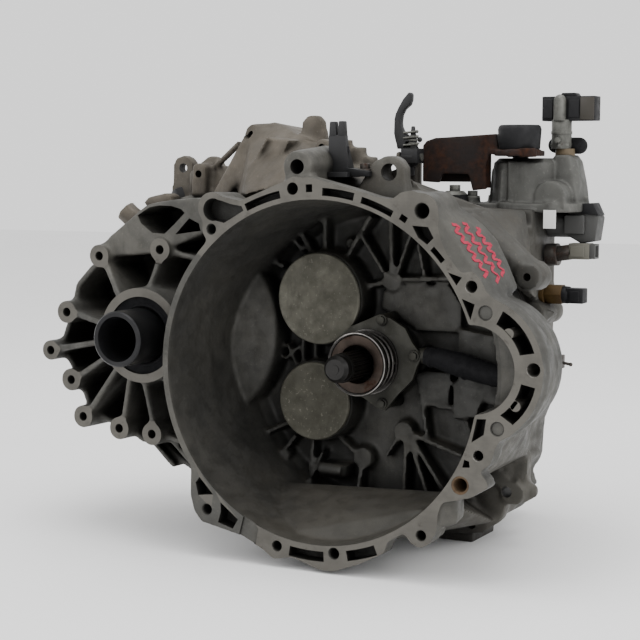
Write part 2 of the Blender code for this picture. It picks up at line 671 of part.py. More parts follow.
def rear_outline(grow=0.0):
    """Outline of the narrower rear half of the gear case, as (x, z) points."""
    points = []
    corner = 30.0 + grow
    for x, z, start, end in ((-96, 96, 90, 165), (-104, -84, 180, 240), (-24, -140, 235, 290),
                             (64, -112, 290, 350), (74, 60, 0, 60), (10, 112, 50, 100)):
        points += arc((x, z), corner, start, end, 3)
    return points


def case_shell():
    outer = plate(joint_outline(-3.0), (JOINT_Y + 0.3, STEP_Y))
    join(outer, plate(rear_outline(), (STEP_Y - 6, CASE_BACK_Y)))
    dome = turned([(0, 236), (CHAMBER_R - 3, 236), (72, 262), (72, 273), (46, 273), (46, 292),
                   (0, 292)], DIFF, 24, closed=False)
    cut(outer, y_rod(DIFF, (222, 300), CHAMBER_R + 30, sides=24))
    rear_joint = plate(rear_outline(), (214, 260))
    middle = plate([(-110, 150), (-110, -160), (30, -170), (136, -130), (136, 148), (40, 148), (0, 150)],
                   (214, STEP_Y))
    join(outer, middle, rear_joint, dome)
    return outer


def hollow_case(case):
    cut(case, plate(joint_outline(-10.0), (JOINT_Y - 1, 216)))
    inner = plate(rear_outline(-7.0), (200, CASE_BACK_Y - 7))
    middle = plate([(-102, 142), (-102, -152), (28, -162), (129, -125), (129, 141), (40, 141), (0, 142)],
                   (210, STEP_Y - 7))
    dome = turned([(0, 180), (CHAMBER_R - 8, 180), (CHAMBER_R - 8, 236), (66, 256), (66, 267),
                   (38, 267), (38, 287), (30, 287), (30, 293), (0, 293)], DIFF, 24, closed=False)
    cut(case, inner, middle, dome)


def add_rear_seats(case):
    """Bosses on the back wall that carry the rear bearings."""
    for centre in (INPUT, UPPER, LOWER):
        seat = turned([(REAR_BEARING_R + 0.3, 327), (REAR_BEARING_R + 6, 327),
                       (REAR_BEARING_R + 6, CASE_BACK_Y - 5), (REAR_BEARING_R + 0.3, CASE_BACK_Y - 5)],
                      centre, 18)
        join(case, seat)
    join(case, y_rod(IDLER, (250, 264), 14, sides=12), rib(IDLER, (56, -150), (250, 264), 12))


CASE_LUGS = [(-250, 184, 168, 196), (-222, 176, 168, 200), (-150, 212, 150, 182), (-62, 176, 168, 190),
             (128, -128, 168, 190), (92, -160, 168, 190), (126, 118, 168, 190)]


SELECT_PIVOT = (10.0, 180.0, 196.0)


def select_lever_stand():
    """Cast upright with the pin that the select lever turns on."""
    px, py, pz = SELECT_PIVOT
    return join(block((px - 10, py - 9, 140), (px - 5.5, py + 9, pz + 6)),
                rod((px - 6, py, pz), (px + 6, py, pz), 4, sides=12))


def tower_opening():
    """Opening under the shift tower."""
    return z_rod(TURRET, (120, 155), 18, sides=16)


def make_gear_case():
    case = case_shell()
    hollow_case(case)
    add_rear_seats(case)
    for x, z, y0, y1 in CASE_LUGS:
        inward = Vector((-x, -z)).normalized() * (46 if z > 200 else 32)
        lug = y_rod((x, z), (max(y0, JOINT_Y + 0.3), y1), 12, sides=8)
        join(case, rib((x, z), (x + inward.x, z + inward.y), (max(y0, JOINT_Y + 0.3), y1), 10), lug)
        cut(case, y_rod((x, z), (y0 - 5, y1 + 5), 5.0, sides=6))
    for x in (-70, 60):
        join(case, block((x - 22, 180, -184), (x + 22, 240, -150)))
    join(case, select_lever_stand())
    cut(case, tower_opening())
    node(case, "gear_case", "cast_aluminium_case")


def make_caps():
    for name, centre, cap_r in (("upper_shaft_cap", UPPER, UPPER_CAP_R),
                                ("lower_shaft_cap", LOWER, LOWER_CAP_R)):
        profile = [(cap_r - 1.5, CAP_Y[0]), (cap_r, CAP_Y[0] + 1), (cap_r, CAP_Y[1])]
        node(solid_turned(profile, centre, 28), name, "pressed_disc", (centre[0], 0, centre[1]))


# ---- clutch release ------------------------------------------------------------------------------
def make_clutch_release():
    profile = [(17, 149.7), (17, 112), (29, 112), (30, 114), (30, 142), (34.5, 143), (34.5, 149.7)]
    slave = turned(profile, INPUT, 18)
    for angle in (60, 175, 268):
        direction = math.radians(angle)
        join(slave, rib(polar(30, direction), polar(44, direction), (144, 149.5), 14),
             y_rod(polar(46, direction), (143.5, 149.7), 8.5, sides=8))
        cut(slave, y_rod(polar(48, direction), (140, 152), 3.3, sides=6))
    join(slave, rod((28, 134, 6), (47, 134, 9), 8, sides=12))
    node(slave, "slave_cylinder", "pressed_disc")
    bearing_ring = [(17, 105), (17, 88), (15.8, 86), (15.8, 84), (31, 84), (31, 98), (27, 100), (27, 105)]
    node(turned(bearing_ring, INPUT, 18), "release_bearing", "bearing_steel")
    pipe = bpy.data.curves.new("pipe", "CURVE")
    pipe.dimensions = "3D"
    pipe.bevel_depth = 6.5 * MM
    pipe.bevel_resolution = 2
    pipe.use_fill_caps = True
    spline = pipe.splines.new("POLY")
    route = [(48, 134, 9.2), (60, 133, 11), (80, 128, 12), (104, 121, 9), (124, 115, 4), (139, 111, 0)]
    spline.points.add(len(route) - 1)
    for point, (x, y, z) in zip(spline.points, route):
        point.co = (x * MM, y * MM, z * MM, 1.0)
    sleeve = bpy.data.objects.new("pipe", pipe)
    bpy.context.scene.collection.objects.link(sleeve)
    node(as_mesh(sleeve), "slave_feed_pipe", "rubber")


# ---- shift mechanism -----------------------------------------------------------------------------
TOWER_BASE_Z = 148.8
FINGER_Z = (108.0, 116.0)
FINGER_REACH = 38.0
RAIL_R = 7.0
FORK_OUTER_R = 46.0


def shift_fork(centre, rail, groove_y):
    """Fork on its rail, with its arc in the sleeve's groove."""
    toward = math.degrees(math.atan2(rail[1] - centre[1], rail[0] - centre[0]))
    outline = arc(centre, FORK_OUTER_R, toward - 75, toward + 75, 8)
    outline += arc(centre, SLEEVE_OUTER_R - 4.2, toward + 75, toward - 75, 8)
    fork = plate(outline, (groove_y - 2.4, groove_y + 2.4))
    middle = polar(FORK_OUTER_R - 5, math.radians(toward), centre)
    join(fork, rib(middle, rail, (groove_y - 2.4, groove_y + 2.4), 16),
         y_rod(rail, (groove_y - 10, groove_y + 10), RAIL_R + 5, sides=12))
    return fork


def finish_fork(fork, rail, name):
    cut(fork, y_rod(rail, (200, 340), RAIL_R + 0.6, sides=12))
    node(fork, name, "brass")


def make_shift_forks():
    for name, rail in (("upper_shift_rail", UPPER_RAIL), ("lower_shift_rail", LOWER_RAIL)):
        node(y_rod(rail, (171, CASE_BACK_Y - 7.3), RAIL_R, sides=12), name, "machined_steel")
    middle_12 = sum(HUB_12_Y) / 2
    middle_34 = sum(HUB_34_Y) / 2
    middle_r = sum(HUB_R_Y) / 2
    finish_fork(shift_fork(UPPER, UPPER_RAIL, middle_12), UPPER_RAIL, "fork_first_second")
    fork = shift_fork(UPPER, UPPER_RAIL, middle_34)
    tip_x = TURRET[0] - FINGER_REACH
    x = UPPER_RAIL[0]
    bottom, top = FINGER_Z[0] + 1, FINGER_Z[1] - 1
    bar = block((x + 14, 218, bottom), (x + 18, middle_34 + 8, top))
    link = block((x, middle_34 - 8, bottom), (x + 18, middle_34 + 8, top))
    head = block((x + 14, 218, bottom), (tip_x + 4, 242, top))
    join(fork, link, bar, head)
    cut(fork, block((tip_x - 6, TURRET[1] - 4.6, bottom - 3), (tip_x + 6, TURRET[1] + 4.6, top + 3)))
    finish_fork(fork, UPPER_RAIL, "fork_third_fourth")
    finish_fork(shift_fork(LOWER, LOWER_RAIL, middle_34), LOWER_RAIL, "fork_fifth_sixth")
    finish_fork(shift_fork(LOWER, LOWER_RAIL, middle_r), LOWER_RAIL, "fork_reverse")


def make_shift_tower():
    x, y = TURRET
    tower = block((x - 44, y - 22, TOWER_BASE_Z), (x + 34, y + 34, TOWER_BASE_Z + 7))
    join(tower, z_rod(TURRET, (TOWER_BASE_Z + 5, 176), 27, 26, 18),
         z_rod(TURRET, (174, 193), 22, 20, 18),
         rod((x, y, 166), (x + 42, y + 8, 172), 14, 13, 14),
         z_rod((x + 40, y + 8), (170, 190), 10, sides=14),
         z_rod((x - 32, y + 6), (TOWER_BASE_Z + 3, 166), 11, 9, 12))
    cut(tower, z_rod(TURRET, (TOWER_BASE_Z - 2, 170), 19, sides=20),
        z_rod(TURRET, (160, 200), 8.4, sides=20))
    node(tower, "shift_tower", "cast_aluminium")
    finger = block((x - FINGER_REACH - 3, y - 3, FINGER_Z[0]), (x, y + 3, FINGER_Z[1]))
    shaft = join(z_rod(TURRET, (70, 205), 8, sides=14),
                 z_rod(TURRET, (FINGER_Z[0] - 6, FINGER_Z[1] + 6), 14, sides=14), finger)
    node(shaft, "selector_shaft", "machined_steel", (x, y, 0))
    lever = join(z_rod(TURRET, (195, 200), 24, sides=16), z_rod(TURRET, (199, 204), 12, sides=12),
                 block((x - 82, y - 31, 195.5), (x - 10, y + 10, 200)),
                 block((x - 82, y - 31, 170), (x - 27, y - 27.5, 213)),
                 z_rod((x + 10, y - 30), (195.5, 200), 22, sides=16))
    cut(lever, z_rod(TURRET, (190, 210), 8.6, sides=14))
    node(lever, "shift_lever", "rusty_steel", (x, y, 0))
    damper = join(z_rod((x + 10, y - 30), (200.3, 224), 18.5, sides=20),
                  z_rod((x + 10, y - 30), (223, 227), 15.5, 14, 20))
    node(damper, "mass_damper", "rubber", (x, y, 0))


def make_select_lever():
    px, py, pz = SELECT_PIVOT
    hook = plate([(5.2, 200), (12, 202), (12, 217), (7.4, 221.5), (4.9, 229.6), (8.8, 242), (14.3, 246.5),
                  (16, 257), (12.6, 258.8), (6.7, 252), (1.8, 244), (-2.1, 235), (-2.6, 219), (0.5, 210),
                  (5.2, 206)], (py - 4, py + 4))
    lever = join(rod((px - 5.2, py, pz), (px + 7.0, py, pz), 9, sides=16),
                 block((px, py - 6, pz - 6), (px + 13, py + 6, pz + 7)), hook,
                 block((px - 3, py - 5, pz - 28), (px + 3, py + 5, pz)))
    cut(lever, rod((px - 8, py, pz), (px + 7.5, py, pz), 4.4, sides=12))
    node(lever, "select_lever", "dark_steel", SELECT_PIVOT)


# ---- fittings on the outside ---------------------------------------------------------------------
def make_fittings():
    bracket = join(block((-16, 40, 178), (30, 74, 181.5)), block((-14, 54, 180), (4, 62, 214)),
                   block((-14, 54, 212), (-6, 62, 228)), block((-4.6, 54, 212), (2.5, 62, 228.5)))
    cut(bracket, z_rod((24, 64), (170, 190), 3.2, sides=8))
    node(bracket, "cable_bracket", "dark_steel")
    union = join(z_rod((148, 238), (190.3, 222), 6.5, sides=14), z_rod((148, 238), (198, 204), 10, sides=6),
                 z_rod((148, 238), (212, 218), 9, sides=14))
    node(union, "hydraulic_union", "brass")
    connector = join(block((129, 228, 230.5), (172, 250, 255)), block((146, 230, 254), (162, 248, 258)),
                     z_rod((148, 238), (222.3, 232), 9.6, sides=14))
    node(connector, "hydraulic_block", "black_plastic")
    sensor = join(rod((136.3, 236, 128), (150, 236, 128), 9, sides=14),
                  block((148, 220, 112), (182, 256, 146)))
    node(sensor, "gear_position_sensor", "grey_plastic")
    neutral = join(rod((136.3, 226, 92), (150, 226, 92), 10, sides=14),
                   rod((149, 226, 92), (184, 226, 90), 8, sides=14))
    node(neutral, "neutral_sensor", "grey_plastic")
    switch = join(rod((142.5, 196, 52), (156, 196, 51.5), 11, sides=6),
                  rod((155, 196, 51.5), (186, 196, 50), 8.5, sides=14))
    node(switch, "reversing_light_switch", "brass")
    direction = math.radians(112)
    ends = [polar(radius, direction, DIFF) for radius in (CHAMBER_R + 1.0, CHAMBER_R + 9.0)]
    node(rod((ends[0][0], 190, ends[0][1]), (ends[1][0], 190, ends[1][1]), 10, sides=6),
         "filler_plug", "dark_steel")


def build():
    make_input_shaft()
    make_layshafts()
    make_differential()
    make_bearings()
    make_bell_housing()
    make_caps()
    make_gear_case()
    make_clutch_release()
    make_shift_forks()
    make_shift_tower()
    make_select_lever()
    make_fittings()


clear_scene()
PARTS = new_collection("transaxle")
ORIGIN = bpy.data.objects.new("transaxle_origin", None)
ORIGIN.location = INPUT_AXIS_FROM_BASE * MM
PARTS.objects.link(ORIGIN)
build()
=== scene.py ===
"""Looks of the transaxle: cast casings, machined faces, shafts, shift gear and outside fittings.

Shapes are written in millimetres of a design frame: its origin is on the input shaft's axis at the
engine face of the bell, +Y runs into the gearbox and +Z is up.
"""

import math

import bmesh
import bpy
import numpy as np
from mathutils import Matrix, Vector


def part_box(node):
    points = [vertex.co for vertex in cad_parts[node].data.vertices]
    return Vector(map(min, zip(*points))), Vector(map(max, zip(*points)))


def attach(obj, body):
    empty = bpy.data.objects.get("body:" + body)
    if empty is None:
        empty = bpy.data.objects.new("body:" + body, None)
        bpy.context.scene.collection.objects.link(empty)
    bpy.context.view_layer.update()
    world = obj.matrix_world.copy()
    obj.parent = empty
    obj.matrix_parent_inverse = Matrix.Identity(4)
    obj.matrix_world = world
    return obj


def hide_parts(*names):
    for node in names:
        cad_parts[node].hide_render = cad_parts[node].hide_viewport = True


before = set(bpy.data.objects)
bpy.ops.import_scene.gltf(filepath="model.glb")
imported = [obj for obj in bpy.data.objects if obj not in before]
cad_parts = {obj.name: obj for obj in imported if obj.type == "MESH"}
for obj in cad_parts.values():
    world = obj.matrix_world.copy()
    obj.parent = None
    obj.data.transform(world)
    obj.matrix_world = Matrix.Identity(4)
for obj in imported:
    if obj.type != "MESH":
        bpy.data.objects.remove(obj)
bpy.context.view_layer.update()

MM = 0.001
TAU = 2 * math.pi
SMOOTH_ANGLE = 38
BEVEL_ANGLE = 35
shaft_low, shaft_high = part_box("input_shaft")
engine_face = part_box("bell_housing")[0].y
AXIS = Vector(((shaft_low.x + shaft_high.x) / 2, engine_face, (shaft_low.z + shaft_high.z) / 2))


def across(node):
    """(x, z) of a CAD node's centre in the design frame."""
    low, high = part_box(node)
    centre = ((low + high) / 2 - AXIS) / MM
    return centre.x, centre.z


INPUT = (0.0, 0.0)
UPPER = across("upper_shaft_cap")
LOWER = across("lower_shaft_cap")
DIFF = across("output_sleeve")
STARTER = (153.0, 13.0)
BELL_R = 158.0
CHAMBER_R = 137.0
RAW_FACE = -3      # front of the rough casting, before the engine face is milled at 0
BACK_WALL = 152    # back of the bell's inner ribs and pads
# (x, y) of two upright axes: the shift tower's turret and the damper on the shift arm
TURRET = (108.0, 230.0)
DAMPER = (118, 200)
TURRET_BORE = 8.6  # bore of the shift arm and its collar around the selector shaft


# ---- shapes --------------------------------------------------------------------------------------
def polar(radius, degrees, centre=(0.0, 0.0)):
    angle = math.radians(degrees)
    return centre[0] + radius * math.cos(angle), centre[1] + radius * math.sin(angle)


def arc(centre, radius, start, end, steps):
    return [polar(radius, start + (end - start) * i / steps, centre) for i in range(steps + 1)]


class Shape:
    """Closed shapes gathered in one mesh; they may overlap."""

    def __init__(self):
        self.build = bmesh.new()

    def rod(self, start, end, radius, end_radius=None, sides=32):
        start, end = Vector(start), Vector(end)
        turn = Vector((0, 0, 1)).rotation_difference(end - start).to_matrix().to_4x4()
        bmesh.ops.create_cone(self.build, cap_ends=True, segments=sides, radius1=radius,
                              radius2=radius if end_radius is None else end_radius,
                              depth=(end - start).length,
                              matrix=Matrix.Translation((start + end) / 2) @ turn)
        return self

    def boss(self, centre, span, radius, end_radius=None, sides=32):
        """Cylinder or cone along Y."""
        x, z = centre
        return self.rod((x, span[0], z), (x, span[1], z), radius, end_radius, sides)

    def ball(self, centre, radius):
        bmesh.ops.create_uvsphere(self.build, u_segments=24, v_segments=12, radius=radius,
                                  matrix=Matrix.Translation(centre))
        return self

    def hull(self, *points):
        verts = [self.build.verts.new(point) for point in points]
        result = bmesh.ops.convex_hull(self.build, input=verts)
        inside = [item for item in result["geom_interior"] if isinstance(item, bmesh.types.BMVert)]
        bmesh.ops.delete(self.build, geom=inside, context="VERTS")
        return self

    def block(self, low, high):
        return self.hull(*[(x, y, z) for x in (low[0], high[0]) for y in (low[1], high[1])
                           for z in (low[2], high[2])])

    def plate(self, outline, span):
        """Convex (x, z) outline extruded along Y."""
        return self.hull(*[(x, y, z) for x, z in outline for y in span])

    def slab(self, outline, span):
        """Convex (x, y) outline extruded along Z."""
        return self.hull(*[(x, y, z) for x, y in outline for z in span])

    def web(self, start, end, span, thickness=5.0, end_span=None, end_thickness=None):
        """Upright rib between two (x, z) points, with its Y span at each end."""
        a, b = Vector(start), Vector(end)
        side = (b - a).normalized().orthogonal() / 2
        points = []
        for point, reach, width in ((a, span, thickness), (b, end_span or span, end_thickness or thickness)):
            for edge in (point + side * width, point - side * width):
                points += [(edge.x, reach[0], edge.y), (edge.x, reach[1], edge.y)]
        return self.hull(*points)

    def wall(self, points, span, thickness=6.0):
        """Webs in a row through (x, z) points, with a rod at each corner."""
        for start, end in zip(points, points[1:]):
            self.web(start, end, span, thickness)
        for point in points[1:-1]:
            self.boss(point, span, thickness / 2, sides=12)
        return self

    def prism(self, outline, span):
        """Outline of (x, z) points extruded along Y."""
        bottom = [self.build.verts.new((x, span[0], z)) for x, z in outline]
        face = self.build.faces.new(bottom)
        top = bmesh.ops.extrude_face_region(self.build, geom=[face])["geom"]
        verts = [item for item in top if isinstance(item, bmesh.types.BMVert)]
        bmesh.ops.translate(self.build, vec=(0, span[1] - span[0], 0), verts=verts)
        base = self.build.faces.get(bottom)
        if base is None:
            self.build.faces.new(bottom)
        return self

    def turned(self, profile, centre, sides=96, closed=True):
        """Ring or disc from (radius, y) points about the Y axis through (x, z)."""
        x, z = centre
        verts = [self.build.verts.new((x + r, y, z)) for r, y in profile]
        pairs = list(zip(verts, verts[1:]))
        if closed:
            pairs.append((verts[-1], verts[0]))
        return self.spin(verts, pairs, (x, 0, z), (0, 1, 0), sides)

    def turned_upright(self, profile, centre, sides=96):
        """Disc from (radius, z) points about the Z axis through (x, y)."""
        x, y = centre
        verts = [self.build.verts.new((x + r, y, z)) for r, z in profile]
        return self.spin(verts, zip(verts, verts[1:]), (x, y, 0), (0, 0, 1), sides)

    def spin(self, verts, pairs, centre, axis, sides):
        """Join pairs of a profile's points and turn them once around an axis."""
        edges = [self.build.edges.new(pair) for pair in pairs]
        bmesh.ops.spin(self.build, geom=verts + edges, cent=centre, axis=axis, angle=TAU, steps=sides,
                       use_duplicate=False)
        return self

    def to_object(self, name):
        bmesh.ops.remove_doubles(self.build, verts=self.build.verts, dist=0.001)
        bmesh.ops.recalc_face_normals(self.build, faces=self.build.faces)
        self.build.transform(Matrix.Translation(AXIS) @ Matrix.Scale(MM, 4))
        mesh = bpy.data.meshes.new(name)
        self.build.to_mesh(mesh)
        self.build.free()
        obj = bpy.data.objects.new(name, mesh)
        bpy.context.scene.collection.objects.link(obj)
        return obj


def bake(obj):
    """Apply an object's modifiers."""
    bpy.context.view_layer.update()
    evaluated = obj.evaluated_get(bpy.context.evaluated_depsgraph_get())
    mesh = bpy.data.meshes.new_from_object(evaluated)
    obj.modifiers.clear()
    obj.data = mesh
    return obj


def fused(obj, voxel, smooth):
    """Remesh an object into one closed skin and soften it."""
    remesh = obj.modifiers.new("remesh", "REMESH")
    remesh.mode = "VOXEL"
    remesh.voxel_size = voxel * MM
    soften = obj.modifiers.new("soften", "SMOOTH")
    soften.factor = 0.5
    soften.iterations = smooth
    return bake(obj)


def cast(shape, name, voxel, smooth):
    """One casting from overlapping shapes, with small fillets where they meet."""
    return fused(shape.to_object(name), voxel, smooth)


def join_shape(obj, shape):
    """Add a shape's mesh to an object's."""
    extra = shape.to_object("extra")
    build = bmesh.new()
    build.from_mesh(obj.data)
    build.from_mesh(extra.data)
    obj.data = bpy.data.meshes.new(obj.name)
    build.to_mesh(obj.data)
    build.free()
    bpy.data.objects.remove(extra, do_unlink=True)


def carve(obj, *cutters):
    """Cut away shapes that don't overlap each other within one cutter."""
    for cutter in cutters:
        tool = cutter.to_object("cutter")
        cut = obj.modifiers.new("cut", "BOOLEAN")
        cut.operation = "DIFFERENCE"
        cut.solver = "MANIFOLD"
        cut.object = tool
        bake(obj)
        bpy.data.objects.remove(tool, do_unlink=True)
    return obj


def bevelled(obj, width, segments=2):
    """Round an object's sharp edges."""
    bevel = obj.modifiers.new("bevel", "BEVEL")
    bevel.width = width * MM
    bevel.segments = segments
    bevel.limit_method = "ANGLE"
    bevel.angle_limit = math.radians(BEVEL_ANGLE)
    return bake(obj)


def faces_of(obj):
    """Face centres and normals in the design frame."""
    mesh = obj.data
    count = len(mesh.polygons)
    centres = np.empty(count * 3)
    normals = np.empty(count * 3)
    mesh.polygons.foreach_get("center", centres)
    mesh.polygons.foreach_get("normal", normals)
    return (centres.reshape(-1, 3) - np.array(AXIS)) / MM, normals.reshape(-1, 3)


def finish_faces(obj, slots, smooth_angle=SMOOTH_ANGLE):
    """Material slots and smooth shading; the first slot is on every face until repainted."""
    obj.data.materials.clear()
    for material in slots:
        obj.data.materials.append(material)
    obj.data.polygons.foreach_set("material_index", np.zeros(len(obj.data.polygons), dtype=np.int32))
    obj.data.shade_smooth()
    obj.data.set_sharp_from_angle(angle=math.radians(smooth_angle))


def paint(obj, mask, slot):
    """Give the masked faces another of the object's material slots."""
    index = np.empty(len(obj.data.polygons), dtype=np.int32)
    obj.data.polygons.foreach_get("material_index", index)
    index[mask] = slot
    obj.data.polygons.foreach_set("material_index", index)


def piece(obj, material, body, slot, *replaced, smooth_angle=SMOOTH_ANGLE):
    """Finish a separate piece: material, body, record slot (not used) and the CAD nodes that it stands for.
    """
    finish_faces(obj, [material], smooth_angle)
    if replaced:
        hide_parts(*replaced)
    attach(obj, body)


# ---- materials -----------------------------------------------------------------------------------
class Nodes:
    """Short calls for building a material's node tree."""

    def __init__(self, name, roughness=0.5, metallic=0.0, specular=0.5):
        self.material = bpy.data.materials.new(name)
        self.material.use_nodes = True
        self.tree = self.material.node_tree
        self.shader = self.tree.nodes["Principled BSDF"]
        self.shader.inputs["Roughness"].default_value = roughness
        self.shader.inputs["Metallic"].default_value = metallic
        self.shader.inputs["Specular IOR Level"].default_value = specular
        self.coords = self.tree.nodes.new("ShaderNodeTexCoord").outputs["Object"]

    def link(self, source, target):
        self.tree.links.new(source, target)

    def noise(self, scale, detail=4.0, roughness=0.55, stretch=None):
        node = self.tree.nodes.new("ShaderNodeTexNoise")
        node.inputs["Scale"].default_value = scale
        node.inputs["Detail"].default_value = detail
        node.inputs["Roughness"].default_value = roughness
        source = self.coords
        if stretch:
            mapping = self.tree.nodes.new("ShaderNodeMapping")
            mapping.inputs["Scale"].default_value = stretch
            self.link(self.coords, mapping.inputs["Vector"])
            source = mapping.outputs["Vector"]
        self.link(source, node.inputs["Vector"])
        return node.outputs["Fac"]

    def ramp(self, source, low, high, low_value=0.0, high_value=1.0):
        node = self.tree.nodes.new("ShaderNodeMapRange")
        node.interpolation_type = "SMOOTHSTEP"
        node.inputs["From Min"].default_value = low
        node.inputs["From Max"].default_value = high
        node.inputs["To Min"].default_value = low_value
        node.inputs["To Max"].default_value = high_value
        self.link(source, node.inputs["Value"])
        return node.outputs["Result"]

    def maths(self, operation, first, second):
        node = self.tree.nodes.new("ShaderNodeMath")
        node.operation = operation
        for socket, value in zip(node.inputs, (first, second)):
            if isinstance(value, (int, float)):
                socket.default_value = value
            else:
                self.link(value, socket)
        return node.outputs["Value"]

    def mix(self, factor, first, second):
        node = self.tree.nodes.new("ShaderNodeMix")
        node.data_type = "RGBA"
        sockets = {"factor": node.inputs[0], "a": node.inputs[6], "b": node.inputs[7]}
        for key, value in (("factor", factor), ("a", first), ("b", second)):
            if isinstance(value, tuple):
                sockets[key].default_value = (*value, 1.0)
            elif isinstance(value, (int, float)):
                sockets[key].default_value = value
            else:
                self.link(value, sockets[key])
        return node.outputs[2]

    def hollow(self, distance, low, high):
        """Ambient occlusion for painted shade: 0 deep in corners and pockets, 1 on open faces."""
        node = self.tree.nodes.new("ShaderNodeAmbientOcclusion")
        node.samples = 6
        node.inputs["Distance"].default_value = distance
        return self.ramp(node.outputs["AO"], low, high)

    def facing_up(self, low, high):
        """0 on walls and ceilings, 1 on faces that look up."""
        normal = self.tree.nodes.new("ShaderNodeNewGeometry").outputs["Normal"]
        split = self.tree.nodes.new("ShaderNodeSeparateXYZ")
        self.link(normal, split.inputs["Vector"])
        return self.ramp(split.outputs["Z"], low, high)

    def bump(self, *layers):
        """Bump from (height, strength, distance) layers."""
        normal = None
        for height, strength, distance in layers:
            node = self.tree.nodes.new("ShaderNodeBump")
            node.inputs["Strength"].default_value = strength
            node.inputs["Distance"].default_value = distance
            self.link(height, node.inputs["Height"])
            if normal is not None:
                self.link(normal, node.inputs["Normal"])
            normal = node.outputs["Normal"]
        self.link(normal, self.shader.inputs["Normal"])

    def colour(self, source):
        self.link(source, self.shader.inputs["Base Color"])

    def rough(self, source):
        self.link(source, self.shader.inputs["Roughness"])


def cast_aluminium(name, clean, dusty, grime_and_shade, metallic=0.35, shade_and_dust_inside=False, far_side=None):
    """Sand-cast aluminium: mottled oxide, patchy dust and oily stains, with painted shade darkening its
    corners and pockets.
    """
    nodes = Nodes(name, roughness=0.6, metallic=metallic, specular=0.4)
    broad = nodes.ramp(nodes.noise(9.0, 5.0, 0.6), 0.38, 0.66)
    mottle = nodes.ramp(nodes.noise(55.0, 6.0, 0.65), 0.35, 0.7)
    speck = nodes.ramp(nodes.noise(330.0, 3.0, 0.6), 0.6, 0.72)
    base = nodes.mix(broad, clean, dusty)
    if far_side:
        base = nodes.mix(far_side_mask(nodes), base, nodes.mix(broad, *far_side))
    base = nodes.mix(nodes.maths("MULTIPLY", mottle, 0.45), base, tuple(c * 0.62 for c in clean))
    base = nodes.mix(nodes.maths("MULTIPLY", speck, 0.3), base, tuple(min(1.0, c * 1.7) for c in dusty))
    stain = nodes.ramp(nodes.noise(22.0, 7.0, 0.7, (1.0, 1.0, 0.35)), 0.56, 0.72)
    base = nodes.mix(nodes.maths("MULTIPLY", stain, 0.5), base, grime_and_shade)
    # painted shade: ambient occlusion darkens corners and pockets towards a darker copy of the grime tone,
    # then tight creases towards the grime tone
    open_face = nodes.hollow(0.03, 0.25, 0.85)
    close = nodes.hollow(0.006, 0.35, 0.9)
    base = nodes.mix(open_face, tuple(c * 0.35 for c in grime_and_shade), base)
    base = nodes.mix(nodes.maths("MULTIPLY", nodes.maths("SUBTRACT", 1.0, close), 0.7), base, grime_and_shade)
    if shade_and_dust_inside:
        # painted shade: inside the bell the colour is darkened most of the way to black
        inside = radial_mask(nodes)
        base = nodes.mix(inside, base, nodes.mix(0.32, base, (0.008, 0.008, 0.008)))
        settled = nodes.maths("MULTIPLY", nodes.facing_up(0.55, 0.95),
                              nodes.ramp(nodes.noise(16.0, 5.0), 0.3, 0.6))
        base = nodes.mix(nodes.maths("MULTIPLY", nodes.maths("MULTIPLY", settled, inside), 0.6), base,
                         (0.07, 0.064, 0.052))
    nodes.colour(base)
    nodes.rough(nodes.ramp(nodes.noise(70.0, 4.0), 0.3, 0.75, 0.46, 0.78))
    nodes.bump((nodes.noise(900.0, 3.0, 0.6), 0.35, 0.0005), (nodes.noise(140.0, 5.0), 0.22, 0.0012))
    return nodes.material


def axis_coordinates(nodes):
    """x, y and z from the input axis at the engine face, in metres."""
    offset = nodes.tree.nodes.new("ShaderNodeVectorMath")
    offset.operation = "SUBTRACT"
    offset.inputs[1].default_value = AXIS
    nodes.link(nodes.coords, offset.inputs[0])
    split = nodes.tree.nodes.new("ShaderNodeSeparateXYZ")
    nodes.link(offset.outputs["Vector"], split.inputs["Vector"])
    return split.outputs


def far_side_mask(nodes):
    """0 at the upper left of the case, fading to 1 at its right side and its underside."""
    x, _, z = axis_coordinates(nodes)
    drift = nodes.maths("MULTIPLY", nodes.noise(14.0, 4.0), 0.05)
    right = nodes.ramp(nodes.maths("ADD", x, drift), 0.0, 0.075)
    under = nodes.ramp(nodes.maths("ADD", z, drift), -0.07, 0.01, 1.0, 0.0)
    return nodes.maths("MAXIMUM", right, under)


def radial_mask(nodes):
    """1 inside the bell, behind its engine face and within its bore, and 0 outside."""
    x, y, z = axis_coordinates(nodes)
    square = nodes.maths("ADD", nodes.maths("MULTIPLY", x, x), nodes.maths("MULTIPLY", z, z))
    radius = nodes.maths("SQRT", square, 0.0)
    inner = nodes.ramp(radius, 0.1576, 0.1590, 1.0, 0.0)
    behind = nodes.ramp(y, 0.0002, 0.004)
    return nodes.maths("MULTIPLY", inner, behind)


def machined(name, tone, grime_and_shade, rough=0.36, metallic=0.75):
    """Milled aluminium with faint tool marks, oxide and fingered dirt, and painted shade in its corners."""
    nodes = Nodes(name, roughness=rough, metallic=metallic)
    marks = nodes.noise(40.0, 3.0, 0.5, (1.0, 1.0, 12.0))
    patch = nodes.ramp(nodes.noise(28.0, 5.0, 0.65), 0.4, 0.7)
    base = nodes.mix(patch, tone, tuple(c * 0.72 for c in tone))
    dirt = nodes.ramp(nodes.noise(70.0, 6.0, 0.7), 0.58, 0.72)
    base = nodes.mix(nodes.maths("MULTIPLY", dirt, 0.55), base, grime_and_shade)
    # painted shade: ambient occlusion darkens corners towards the grime tone
    base = nodes.mix(nodes.hollow(0.01, 0.2, 0.8), grime_and_shade, base)
    nodes.colour(base)
    nodes.rough(nodes.ramp(marks, 0.3, 0.7, rough - 0.08, rough + 0.16))
    nodes.bump((nodes.noise(600.0, 2.0), 0.12, 0.0003))
    return nodes.material


